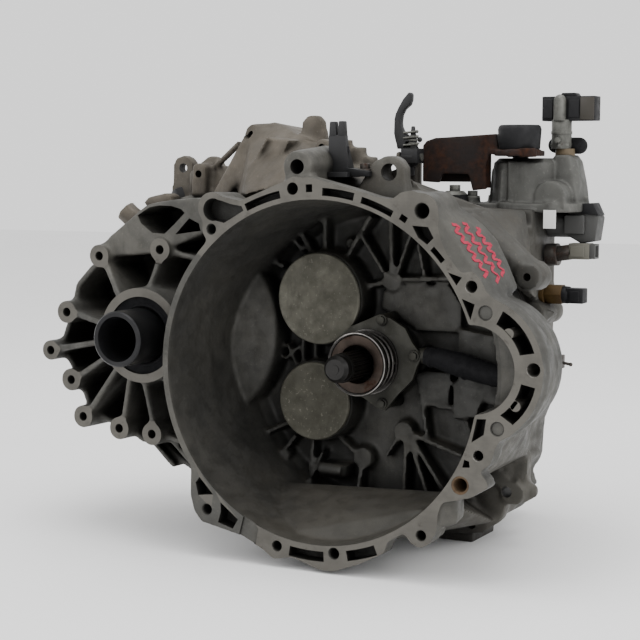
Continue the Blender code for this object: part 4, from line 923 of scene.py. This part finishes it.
def case_right(shape):
    """Web and lugs at the starter side of the case."""
    shape.hull((116, 66, 148), (128, 66, 124), (152, 84, 84), (182, 90, 80), (186, 90, 88), (182, 90, 96),
               (160, 86, 116), (120, 110, 148), (150, 110, 84), (182, 104, 82), (186, 104, 88),
               (182, 104, 96))
    shape.hull((96, 60, 150), (150, 70, 100), (150, 172, 60), (136, 172, 146), (80, 172, 148), (110, 60, 120))
    shape.hull((140, 100, 86), (176, 100, 90), (152, 180, 84), (146, 200, 96), (138, 180, 60))
    shape.hull((140, 186, 50), (162, 188, 50), (162, 198, 46), (140, 206, 46), (140, 186, 40), (152, 188, 40))
    shape.hull((120, 60, -60), (156, 60, -56), (172, 70, -20), (154, 172, -16), (142, 172, -88),
               (112, 172, -104), (110, 60, -110), (140, 60, -88))
    shape.hull((130, 172, -74), (142, 172, -92), (141, 172, -118), (126, 172, -134), (108, 172, -110),
               (130, 190, -74), (140, 190, -92), (139, 190, -118), (126, 190, -132), (108, 190, -110))
    shape.hull((136, 175, -114), (149, 178, -122), (149, 178, -131), (136, 178, -139), (124, 178, -136),
               (136, 188, -114), (148, 188, -123), (148, 188, -130), (136, 188, -138), (124, 188, -136))
    shape.hull((124, 170, -134), (114, 170, -158), (92, 170, -172), (54, 170, -176), (60, 170, -140),
               (124, 190, -130), (114, 190, -156), (92, 190, -170), (54, 190, -174), (60, 190, -140))
    shape.hull((40, 40, -160), (80, 40, -140), (110, 60, -120), (50, 172, -174), (110, 172, -158),
               (60, 172, -130))
    shape.boss((172, 89), (80, 110), 12, 14)
    shape.rod((132, 204, 64.4), (143, 204, 64.4), 16, 14.5, 40)
    shape.boss((142, 46), (178, 236), 12)


def make_case():
    """Gear case, hollowed for the bell and drilled."""
    shape = Shape()
    case_body(shape)
    case_ribs(shape)
    case_top(shape)
    case_right(shape)
    for x, z, front, back in CASE_LUGS:
        inward = Vector((-x, -z)).normalized() * 34
        shape.boss((x, z), (front, back), 12)
        shape.web((x, z), (x + inward.x, z + inward.y), (max(front, 166), back), 14)
    case = cast(shape, "case_casting", 2.3, 3)
    bell_side = Shape().turned([(0, -10), (BELL_R + 3.5, -10), (BELL_R + 3.5, 30), (154.5, 120),
                                (152.5, 157.2), (0, 157.2)], INPUT, 96, closed=False)
    holes = Shape()
    for x, z, front, back, radius in CASE_HOLES:
        holes.boss((x, z), (front, back), radius, sides=28)
    carve(case, bell_side, holes)
    piece(case, BEIGE_CAST, "housing", "cast_aluminium_case", "gear_case")


# ---- caps, clutch release and drive-shaft sleeve ------------------------------------------------
def make_caps():
    """Pressed discs over the two layshaft bores."""
    for node_name, centre, radius in (("upper_shaft_cap", UPPER, 45), ("lower_shaft_cap", LOWER, 39)):
        disc = Shape().turned([(0, 117.8), (radius - 4, 117.8), (radius - 2.6, 117.1), (radius - 1, 117.1),
                               (radius, 118), (radius, 120.2), (0, 120.2)], centre, 96, closed=False)
        piece(disc.to_object(node_name + "_disc"), CAP_METAL, "housing", "pressed_disc", node_name)


def toothed(teeth, root, tip, span):
    """Splined sleeve with straight teeth along Y."""
    outline = []
    step = 360.0 / teeth
    for i in range(teeth):
        for share, radius in ((-0.3, root), (-0.17, tip), (0.17, tip), (0.3, root)):
            outline.append(polar(radius, (i + share) * step))
    return Shape().prism(outline, span)


def make_shaft_tip():
    """Blunt nose and splines at the engine end of the input shaft."""
    tip = toothed(22, 12.7, 14.0, (52, 88))
    tip.turned([(3.6, 44), (3.6, 39.4), (9.6, 39.4), (12.8, 43), (12.8, 90), (3.6, 90)], INPUT, 64)
    tip.turned([(11, 50.5), (13.2, 50.5), (13.9, 52), (13.9, 54), (11, 54)], INPUT, 64)
    tip.boss(INPUT, (38.8, 88), 4.2)
    piece(tip.to_object("input_shaft_nose"), OIL_STEEL, "input", "machined_steel", smooth_angle=30)


def make_release_bearing():
    """Worn contact face of the clutch release bearing, with the bright rings round it."""
    ring = Shape().turned([(18, 104.8), (18, 88), (18.6, 85.2), (21, 84.2), (27.6, 85.6), (28.2, 88),
                           (27, 104.8)], INPUT, 96)
    piece(ring.to_object("release_face"), RING_BRONZE, "release", "bearing_steel", "release_bearing")
    bright = Shape()
    bright.turned([(28.2, 90), (28.2, 85.2), (29.4, 84.2), (30.4, 84.6), (30.8, 86), (30.6, 89),
                  (30, 90)], INPUT, 96)
    for y, radius in ((93.5, 30.4), (96.6, 29.6), (101.5, 30.8)):
        bright.turned([(26.5, y), (radius - 0.6, y), (radius, y + 0.5), (radius, y + 1.1),
                       (radius - 0.6, y + 1.6), (26.5, y + 1.6)], INPUT, 96)
    piece(bright.to_object("release_rings"), RING_STEEL, "release", "bearing_steel")


RELEASE_PLATE = [(7, 44.6), (12, 46.5), (23.2, 42.3), (37.7, 34.2), (45.9, 19.9), (56, 8), (50.8, -1.9),
                 (46.1, -15.4), (30.2, -31.2), (17.3, -47), (9, -45), (-5.8, -36), (-24, -30), (-41, -13),
                 (-44, 2), (-37, 19), (-20, 33)]
RELEASE_BOLTS = [(14, 41), (48, 8), (14.5, -40)]


def make_release_cylinder():
    """Plate of the concentric release cylinder, its bolts and the spring behind the bearing."""
    plate = Shape().prism(RELEASE_PLATE, (112.6, 117.5))
    plate.turned([(19, 112.9), (31, 112.9), (34, 117), (34.4, 149), (19, 149)], INPUT, 96)
    for place in RELEASE_BOLTS:
        plate.boss(place, (110.5, 149), 5.4, 7, sides=24)
    plate.rod((42, 122, 7), (58, 120, 8), 7.5, sides=24)
    piece(bevelled(plate.to_object("release_cylinder"), 0.5), OLIVE_CAST, "housing", "pressed_disc",
          "slave_cylinder")
    bolts = Shape()
    for place in RELEASE_BOLTS:
        bolts.boss(place, (108, 111.5), 4.2, sides=6)
    piece(bevelled(bolts.to_object("release_bolts"), 0.4), OLIVE_CAST, "housing", "pressed_disc")
    spring = Shape()
    for y, radius in ((105.8, 29.5), (109.4, 31.5)):
        spring.turned([(radius - 2.4, y), (radius, y), (radius, y + 1.2), (radius - 2.4, y + 1.2)], INPUT, 96)
    for angle in range(0, 360, 60):
        x, z = polar(28.6, angle)
        spring.boss((x, z), (105.8, 113), 1.0, sides=12)
    piece(spring.to_object("release_spring_rings"), RING_STEEL, "housing", "pressed_disc")


def tube(points, radii, sides=24):
    """Closed tube through (x, y, z) points, with balls at its joints."""
    shape = Shape()
    for (start, end), (near, far) in zip(zip(points, points[1:]), zip(radii, radii[1:])):
        shape.rod(start, end, near, far, sides)
    for point, radius in list(zip(points, radii))[1:-1]:
        shape.ball(point, radius * 0.995)
    return shape


def make_feed_pipe():
    """Sleeved feed pipe from the release cylinder, with its clamp rings."""
    sleeve = tube([(57, 119, 8.3), (72, 118.5, 6), (92, 118, 1.6), (114, 117.5, -3.6), (134, 117, -7.6),
                   (142, 117, -8.4)], [8.4, 10.2, 11.8, 11.2, 10.2, 9.6])
    for x, z, radius in ((64, 7.2, 10.4), (100, -0.4, 12.4), (128, -6.4, 11.2)):
        sleeve.rod((x - 1.2, 118.4, z), (x + 1.2, 118.3, z - 0.5), radius, sides=24)
    piece(cast(sleeve, "feed_sleeve", 1.2, 2), RUBBER, "housing", "rubber", "slave_feed_pipe")


def make_output_sleeve():
    """Dark tube that takes the drive shaft, with its oil seal."""
    sleeve = Shape().turned([(20.5, -12), (21.8, -15.4), (25.4, -16), (26.8, -14.6), (27, 27), (26, 29),
                             (26, 167), (20.5, 167)], DIFF, 96)
    sleeve.boss(DIFF, (60, 66), 21.5, sides=48)
    piece(sleeve.to_object("drive_sleeve"), DARK_STEEL, "differential", "dark_steel", "output_sleeve")
    seal = Shape().turned([(27.2, 30), (29, 28.6), (31, 30.6), (35.4, 29.6), (37.8, 28.4), (37.8, 37),
                           (27.2, 37)], DIFF, 96)
    piece(seal.to_object("drive_seal"), RUBBER, "housing", "rubber", "output_seal")


# ---- shift tower and levers ----------------------------------------------------------------------
def upright(centre, span, radius, end_radius=None, sides=32):
    """Ends of a rod along Z around (x, y), for Shape.rod."""
    x, y = centre
    return (x, y, span[0]), (x, y, span[1]), radius, end_radius, sides


DECK = [(58, 214), (66, 200), (78, 196), (152, 196), (168, 204), (174, 222), (174, 250), (158, 264),
        (76, 264), (60, 250)]


# bolts of the deck: x, y and the height of the boss under the head
DECK_BOLTS = [(66, 210, 157), (72, 256, 157), (166, 244, 157)]
BUSHED_BOLT = (49.5, 204)


def make_tower():
    """Cover of the shift mechanism: deck, double turret and side tubes, with bolts, bush and label."""
    shape = Shape().slab(DECK, (143, 151.5))
    for x, y in (TURRET, (121, 226)):
        shape.rod(*upright((x, y), (148, 191), 27.5, 26, 48))
        shape.rod(*upright((x, y), (190, 195), 26, 21, 48))
    shape.block((106, 199.6, 148), (124, 250, 192))
    shape.rod((149, 200, 158), (149, 244, 158), 15.4, sides=40)
    shape.block((133.6, 200, 147), (164.4, 244, 158))
    shape.hull((138, 218, 150), (138, 254, 150), (170, 222, 150), (172, 254, 150), (138, 226, 187),
               (138, 250, 187), (146, 222, 198), (160, 222, 198), (166, 228, 192), (166, 248, 192),
               (146, 252, 198), (160, 252, 198), (170, 228, 172), (170, 250, 172))
    for x, y, top in ((66, 210, 157), (72, 256, 157), (150, 203, 153), (166, 244, 157), (104, 200, 153)):
        shape.rod(*upright((x, y), (143, top), 8, 7.5))
    for angle in (200, 250, 300):
        shape.rod((*polar(28, angle, TURRET), 150), (*polar(28 * 0.9, angle, TURRET), 184), 2.6)
    shape.block((76, 194.8, 143.4), (136, 200, 146))
    tower = cast(shape, "tower_casting", 1.3, 3)
    carve(tower, Shape().rod(*upright(TURRET, (186, 200), 9.5, sides=40)))
    piece(tower, TOWER_CAST, "housing", "cast_aluminium", "shift_tower")
    bolts = Shape()
    for x, y, top in DECK_BOLTS:
        bolts.rod(*upright((x, y), (top - 1, top + 1.2), 7.2))
        bolts.rod(*upright((x, y), (top + 0.6, top + 6.2), 5.2, sides=6))
    bolts.rod(*upright(BUSHED_BOLT, (159, 163), 13, 9))
    bolts.rod(*upright(BUSHED_BOLT, (162, 168.8), 5.6, sides=6))
    piece(bevelled(bolts.to_object("tower_bolts"), 0.5), DULL_METAL, "housing", "cast_aluminium")
    bush = Shape().rod(*upright((51.5, 204), (138, 159.4), 11.6, sides=40))
    piece(bevelled(bush.to_object("tower_bush"), 0.8), RUBBER, "housing", "cast_aluminium")
    label = Shape().slab([(145.4, 194.4), (157.4, 194.4), (157.4, 196.4), (145.4, 196.4)], (128, 145.6))
    piece(label.to_object("blank_label"), STICKER, "housing", "cast_aluminium")


ARM_FACE = [(17, 172), (17, 207), (21, 212), (30.4, 215), (65.8, 214.3), (94.8, 218.6), (97, 203), (88, 199),
            (84.5, 188), (84, 165), (70.4, 163.5), (66.3, 179.2), (38.7, 180), (34.8, 171)]


def make_shift_arm():
    """Rusty pressed arm on the selector shaft, its collar and the damper weight on top."""
    arm = Shape().prism(ARM_FACE, (197.6, 201.6))
    arm.hull((20, 198, 208), (20, 198, 211.6), (30, 198, 214.8), (95, 198, 218.4), (95, 198, 214),
             (20, 226, 208), (20, 226, 211.6), (30, 236, 214.8), (90, 240, 218.4), (90, 240, 214),
             (30, 236, 210))
    arm.hull((17, 199, 172), (17, 199, 208), (21, 199, 208), (21, 199, 172), (17, 224, 190), (21, 224, 190),
             (17, 224, 208), (21, 224, 208))
    arm.hull((84, 240, 214), (90, 240, 218.4), (112, 246, 200), (112, 246, 196), (84, 222, 214),
             (90, 214, 218), (100, 222, 200), (100, 222, 196))
    disc = [polar(23.5, angle, DAMPER) for angle in range(150, 391, 15)]
    hub = [polar(23.5, angle, TURRET) for angle in range(20, 181, 20)]
    arm.slab(disc + hub, (197, 202))
    arm.slab(((86, 198), (118, 177), (134, 182), (140, 200), (96, 204)), (198.6, 203.6))
    arm.rod(*upright(TURRET, (196, 207), 12.5))
    arm.rod(*upright((132, 186), (196, 204.4), 8))
    arm.block((27, 214, 171.6), (66, 218, 206))
    arm.block((81.5, 199, 166), (84.5, 213, 206))
    pressing = cast(arm, "shift_arm_pressing", 1.0, 2)
    carve(pressing, Shape().rod(*upright(TURRET, (180, 230), TURRET_BORE, sides=40)))
    piece(pressing, RUSTY_STEEL, "shift_arm", "rusty_steel", "shift_lever")
    collar = Shape().rod(*upright(TURRET, (206.4, 214), 12, 11.4, sides=40)).to_object("shift_arm_collar")
    carve(collar, Shape().rod(*upright(TURRET, (200, 220), TURRET_BORE, sides=40)))
    piece(bevelled(collar, 0.5), RUSTY_BOLT, "shift_arm", "rusty_steel")
    profile = [(0, 203.2), (19, 203.2), (19.8, 204.4), (21, 222.4), (20, 225.4), (18.4, 226.6), (15.6, 226.2),
               (14.6, 225), (0, 224.6)]
    weight = Shape().turned_upright(profile, DAMPER)
    piece(weight.to_object("mass_weight"), BLACK_PLASTIC, "shift_arm", "rubber", "mass_damper")


HOOK = [(12.6, 258.6), (6.7, 252), (1.8, 244), (-1.2, 238), (-2.4, 233), (-2.8, 219), (-1.4, 213),
        (0.1, 208.1),
        (0.8, 204), (20, 204), (15, 211.6), (12, 217), (7.4, 221.5), (5.4, 225.5), (4.9, 230), (5.9, 236.8),
        (8.8, 242.1), (14.3, 246.5), (15.9, 251), (16.2, 256.4), (14.8, 258.4)]


def make_select_lever():
    """Hooked lever in front of its base, with the spring clips of the cable's end."""
    hook = Shape().prism(HOOK, (172, 178.5))
    piece(bevelled(hook.to_object("select_hook"), 1.2, 3), BLACK_STEEL, "select_arm", "dark_steel",
          "select_lever")
    base = Shape().block((5.2, 171, 190), (23, 188, 204.4))
    base.rod((5, 180, 196), (18, 180, 196), 9.2, sides=40)
    base.block((6, 174, 178), (14, 186, 192))
    base.hull((5.4, 172, 203), (22, 172, 203), (5.4, 182, 203), (22, 182, 203), (10, 172, 212),
              (15, 172, 212), (10, 180, 212), (15, 180, 212))
    base.rod((17, 176, 204), (16.4, 176, 226), 4.6, 1.8, sides=20)
    base.ball((22.6, 178, 213), 2.6)
    piece(bevelled(base.to_object("select_base"), 0.8), BLACK_STEEL, "select_arm", "dark_steel")
    clips = Shape()
    for z, radius in ((207.5, 1.2), (214.5, 1.1), (219.5, 1.1)):
        clips.rod((8, 171.5, z), (22.5, 171.5, z + 1.2), radius, sides=12)
        clips.ball((22.5, 171.5, z + 1.2), radius * 1.5)
    for z in (209, 212, 216, 220):
        clips.rod(*upright((17, 176), (z, z + 1.2), 5.8 - (z - 209) * 0.12, sides=24))
    clips.rod((4.6, 180, 196), (24.4, 180, 196), 3.6, sides=24)
    piece(clips.to_object("select_clips"), DULL_METAL, "select_arm", "dark_steel")


# ---- fittings ------------------------------------------------------------------------------------
def make_bracket():
    """Two-pronged cable bracket and its bolt."""
    bracket = Shape().plate(((-14, 178), (6.4, 178), (-14, 216), (2.8, 216)), (54, 60))
    bracket.plate(((-14, 214), (-6, 214), (-13, 228.2), (-7, 228.2)), (54, 60))
    bracket.plate(((-4.4, 214), (2.8, 214), (-3.8, 228.6), (1.8, 228.6)), (54, 60))
    bracket.block((-15, 44, 177.4), (10, 72, 182))
    bracket.plate(((6, 178), (29, 178), (6, 186), (12, 183.2), (29, 183)), (50, 68))
    for x in (-14, 2):
        bracket.hull((x, 58, 178), (x + 3, 58, 178), (x, 72, 180), (x + 3, 72, 180),
                     (x, 58, 206), (x + 3, 58, 206))
    piece(bevelled(bracket.to_object("bracket_pressing"), 0.8), BLACK_STEEL, "housing", "dark_steel",
          "cable_bracket")
    bolt = Shape().rod(*upright((21, 59), (182.6, 185), 7))
    bolt.rod(*upright((21, 59), (184.6, 190), 4.8, sides=6))
    piece(bevelled(bolt.to_object("bracket_bolt"), 0.5), RUSTY_BOLT, "housing", "dark_steel")


UNION = (147.8, 236)


def make_hydraulics():
    """Hydraulic connection beside the tower: block, union, gland and valve."""
    body = Shape().block((128.6, 232, 230.8), (182, 250, 254.4))
    body.plate(((145, 254), (164, 254), (148, 257.8), (161, 257.8)), (234, 248))
    body.block((130.6, 230.2, 233), (140, 233, 252))
    body.block((156, 230.6, 234), (166.5, 233, 251))
    piece(bevelled(body.to_object("union_housing"), 0.8), BLACK_PLASTIC, "housing", "black_plastic",
          "hydraulic_block")
    face = Shape().block((167.6, 231, 231.6), (181.6, 232.4, 253.6))
    piece(bevelled(face.to_object("union_end_face"), 0.5), SMOKY_PLASTIC, "housing", "grey_plastic")
    union = Shape().rod(*upright(UNION, (204, 232), 9.7, sides=40))
    union.rod(*upright(UNION, (206, 209), 10.8, sides=6))
    union.rod(*upright(UNION, (218, 221), 10.3, sides=40))
    union.rod(*upright((147.8, 229.4), (231, 250), 6.2, sides=32))
    union.ball((147.8, 229.4, 250), 6.2)
    union.rod((147.8, 226, 212), (147.8, 220.5, 212), 3.4, 2.4, sides=20)
    piece(bevelled(union.to_object("union_collar"), 0.4), DULL_METAL, "housing", "brass", "hydraulic_union")
    collar = Shape().rod(*upright((151, 238), (189.6, 204.2), 10, 9.4, sides=40))
    piece(bevelled(collar.to_object("union_gland"), 0.6), TAN_PLASTIC, "housing", "brass")
    valve = tube([(134.8, 248, 207.6), (138, 248, 207.6), (162, 248, 207), (167, 248, 207)],
                 [5.6, 7.8, 8.2, 6])
    piece(cast(valve, "union_valve", 1.0, 3), RUBBER, "housing", "black_plastic")


def make_sensors():
    """Position and neutral sensors, reversing light switch, harness clip and filler plug."""
    outline = [(158, 120), (158, 143), (168, 145.3), (172, 149), (184, 150), (189, 137), (186, 115),
               (172, 112.6)]
    sensor = Shape().plate(outline, (228, 250))
    sensor.rod((136, 239, 130), (160, 239, 130), 12, sides=32)
    sensor.block((156, 224, 122), (176, 230, 140))
    piece(bevelled(sensor.to_object("position_sensor"), 1.2, 3), GREY_PLASTIC, "housing", "grey_plastic",
          "gear_position_sensor")
    plug = Shape().plate(((171, 142), (172, 151.2), (184, 152), (190, 140)), (226, 247))
    piece(bevelled(plug.to_object("position_plug"), 0.8), BLACK_PLASTIC, "housing", "grey_plastic")
    neutral = Shape().block((162, 221, 97.6), (183, 236, 113))
    neutral.block((164, 219.6, 100), (178, 222, 111))
    piece(bevelled(neutral.to_object("neutral_connector"), 0.9), PALE_PLASTIC, "housing", "grey_plastic",
          "neutral_sensor")
    end = Shape().block((182, 221.8, 98.2), (188.4, 235.2, 112.4))
    neutral_end = carve(end.to_object("neutral_end"), Shape().block((185, 224, 100), (190, 233, 110.6)))
    piece(bevelled(neutral_end, 0.5), GREY_PLASTIC, "housing", "grey_plastic")
    seat = Shape().rod((140, 228, 101), (163, 228, 104.4), 8.6, sides=6)
    seat.rod((138, 228, 101), (150, 228, 101.6), 11, sides=32)
    piece(bevelled(seat.to_object("neutral_seat"), 0.6), RUSTY_BOLT, "housing", "grey_plastic")
    switch = Shape().rod((140, 204, 64.4), (164, 204, 64.6), 10.4, sides=6)
    switch.rod((138, 204, 64.4), (147, 204, 64.4), 12.6, sides=40)
    piece(bevelled(switch.to_object("switch_hex"), 0.7), DULL_BRASS, "housing", "brass",
          "reversing_light_switch")
    socket = Shape().rod((163, 204, 64.6), (170, 204, 64), 8.4, sides=32)
    socket.block((168, 196.6, 56.6), (185.6, 211.4, 71))
    socket.block((172, 195.6, 58.6), (182, 198, 68.6))
    piece(bevelled(socket.to_object("switch_socket"), 1.0), BLACK_PLASTIC, "housing", "black_plastic")
    clip = Shape().block((146.5, 226, -10.6), (156, 235, 2.6))
    clip.rod((149, 230, -4), (163.6, 230, -6.4), 1.5, sides=16)
    clip.ball((163.6, 230, -6.4), 2)
    piece(bevelled(clip.to_object("harness_clip"), 0.5), RUSTY_BOLT, "housing", "black_plastic")
    filler = Shape().rod((-255.5, 190, 147), (-262, 190, 163), 10, sides=6)
    piece(bevelled(filler.to_object("plug_hex"), 0.8), DARK_STEEL, "housing", "dark_steel", "filler_plug")


# ---- joint bolts and paint marks -----------------------------------------------------------------
JOINT_BOLTS = COVER_BOSSES + [(-226, 156), (-128, -160), (-60, -170), (10, -168), (60, -163), (118, 70),
                              (117, 0), (100, 128), (10, 152)]


def make_bolts():
    """Bolts of the joint between the bell and the case."""
    heads = Shape()
    for x, z in JOINT_BOLTS:
        heads.boss((x, z), (187.4, 190), 8.6, 8.2)
        heads.boss((x, z), (189.6, 196), 6.2, sides=6)
    piece(bevelled(heads.to_object("joint_bolts"), 0.6), RUSTY_BOLT, "housing", "cast_aluminium_case")


# paint-pen strokes: depth of the middle line, and where the stroke starts and ends along the flat
STROKES = [(12, 26, 80), (25, 28, 88), (38, 36, 84)]
STROKE_POINTS = 30
STROKE_HALF_WIDTH = 1.7


def make_marks(bell):
    """Red paint-pen waves on the flat beside the starter lobe."""
    along = Vector((47, 0, -60)).normalized()
    outward = Vector((60, 0, 47)).normalized()
    corner = Vector((113, 0, 158))
    marks = Shape()
    for depth, start, end in STROKES:
        points = []
        for i in range(STROKE_POINTS):
            swing = (3.6 + 1.4 * math.sin(i * 0.7)) * math.sin(i * 1.25 + depth)
            reach = start + (end - start) * i / (STROKE_POINTS - 1)
            place = corner + along * reach + Vector((0, depth + swing, 0))
            hit, place, _, _ = bell.ray_cast(AXIS + (place + outward * 30) * MM, -outward)
            if hit:
                points.append((place - AXIS) / MM)
        for a, b in zip(points, points[1:]):
            side = (b - a).normalized().cross(outward) * STROKE_HALF_WIDTH
            step = (b - a).normalized() * 0.7
            marks.hull(*[tuple(p + s + outward * lift) for p in (a - step, b + step) for s in (side, -side)
                         for lift in (-0.5, 0.22)])
    piece(marks.to_object("paint_marks"), MARKER, "housing", "cast_aluminium")


# ---- camera, light and floor ---------------------------------------------------------------------
VIEW_TURN = math.radians(27.6)
VIEW_RISE = math.radians(7.3)
VIEW_DISTANCE = 1.5
FOCAL_LENGTH = 93.06
SENSOR_WIDTH = 36.0
LENS_SHIFT = (0.0078, 0.0853)
WORLD_STRENGTH = 1.35
# area lights: name, place, target, size and power
LIGHTS = [("overhead", (0.2, -0.3, 2.2), (0.0, 0.0, 0.2), 1.6, 30),
          ("front_left", (-1.4, -2.0, 1.3), (0.0, 0.0, 0.2), 1.2, 14),
          ("right", (1.9, -0.9, 1.2), (0.1, 0.0, 0.2), 1.0, 14)]


def make_camera():
    back = Vector((math.sin(VIEW_TURN) * math.cos(VIEW_RISE), -math.cos(VIEW_TURN) * math.cos(VIEW_RISE),
                   math.sin(VIEW_RISE)))
    camera = bpy.data.objects.new("camera", bpy.data.cameras.new("camera"))
    camera.data.lens = FOCAL_LENGTH
    camera.data.sensor_width = SENSOR_WIDTH
    camera.data.shift_x, camera.data.shift_y = LENS_SHIFT
    camera.location = AXIS + back * VIEW_DISTANCE
    camera.rotation_euler = back.to_track_quat("Z", "Y").to_euler()
    bpy.context.scene.collection.objects.link(camera)
    bpy.context.scene.camera = camera


def area_light(name, place, target, size, power):
    data = bpy.data.lights.new(name, "AREA")
    data.shape = "SQUARE"
    data.size = size
    data.energy = power
    lamp = bpy.data.objects.new(name, data)
    lamp.location = place
    lamp.rotation_euler = (Vector(place) - Vector(target)).to_track_quat("Z", "Y").to_euler()
    bpy.context.scene.collection.objects.link(lamp)


def make_studio():
    """White floor, even world light and three soft lamps."""
    build = bmesh.new()
    bmesh.ops.create_grid(build, x_segments=2, y_segments=2, size=6.0)
    mesh = bpy.data.meshes.new("floor")
    build.to_mesh(mesh)
    build.free()
    floor = bpy.data.objects.new("floor", mesh)
    bpy.context.scene.collection.objects.link(floor)
    paper = Nodes("floor_paper", roughness=0.9, specular=0.1)
    paper.colour(paper.mix(paper.noise(2.0, 3.0), (0.86, 0.86, 0.86), (0.9, 0.9, 0.9)))
    floor.data.materials.append(paper.material)
    world = bpy.data.worlds.new("studio")
    world.use_nodes = True
    background = world.node_tree.nodes["Background"]
    background.inputs["Color"].default_value = (1.0, 1.0, 1.0, 1.0)
    background.inputs["Strength"].default_value = WORLD_STRENGTH
    bpy.context.scene.world = world
    for light in LIGHTS:
        area_light(*light)


# looks of the CAD pieces inside, by the first of these words that is in a name
INNER_LOOKS = [("fork", BRASS), ("bearing", BRIGHT_STEEL), ("shaft", SHAFT_STEEL), ("rail", SHAFT_STEEL),
               ("pin", SHAFT_STEEL), ("carrier", IRON)]


def dress_inner_parts():
    """Procedural materials on the CAD pieces that are carried over as they are."""
    for name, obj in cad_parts.items():
        look = next((material for word, material in INNER_LOOKS if word in name), GEAR_STEEL)
        obj.data.materials.clear()
        obj.data.materials.append(look)


make_camera()
make_studio()
dress_inner_parts()
bell_housing = make_bell()
make_case()
make_caps()
make_shaft_tip()
make_release_bearing()
make_flange_inserts()
make_release_cylinder()
make_feed_pipe()
make_output_sleeve()
make_tower()
make_shift_arm()
make_select_lever()
make_bracket()
make_hydraulics()
make_sensors()
make_bolts()
make_marks(bell_housing)
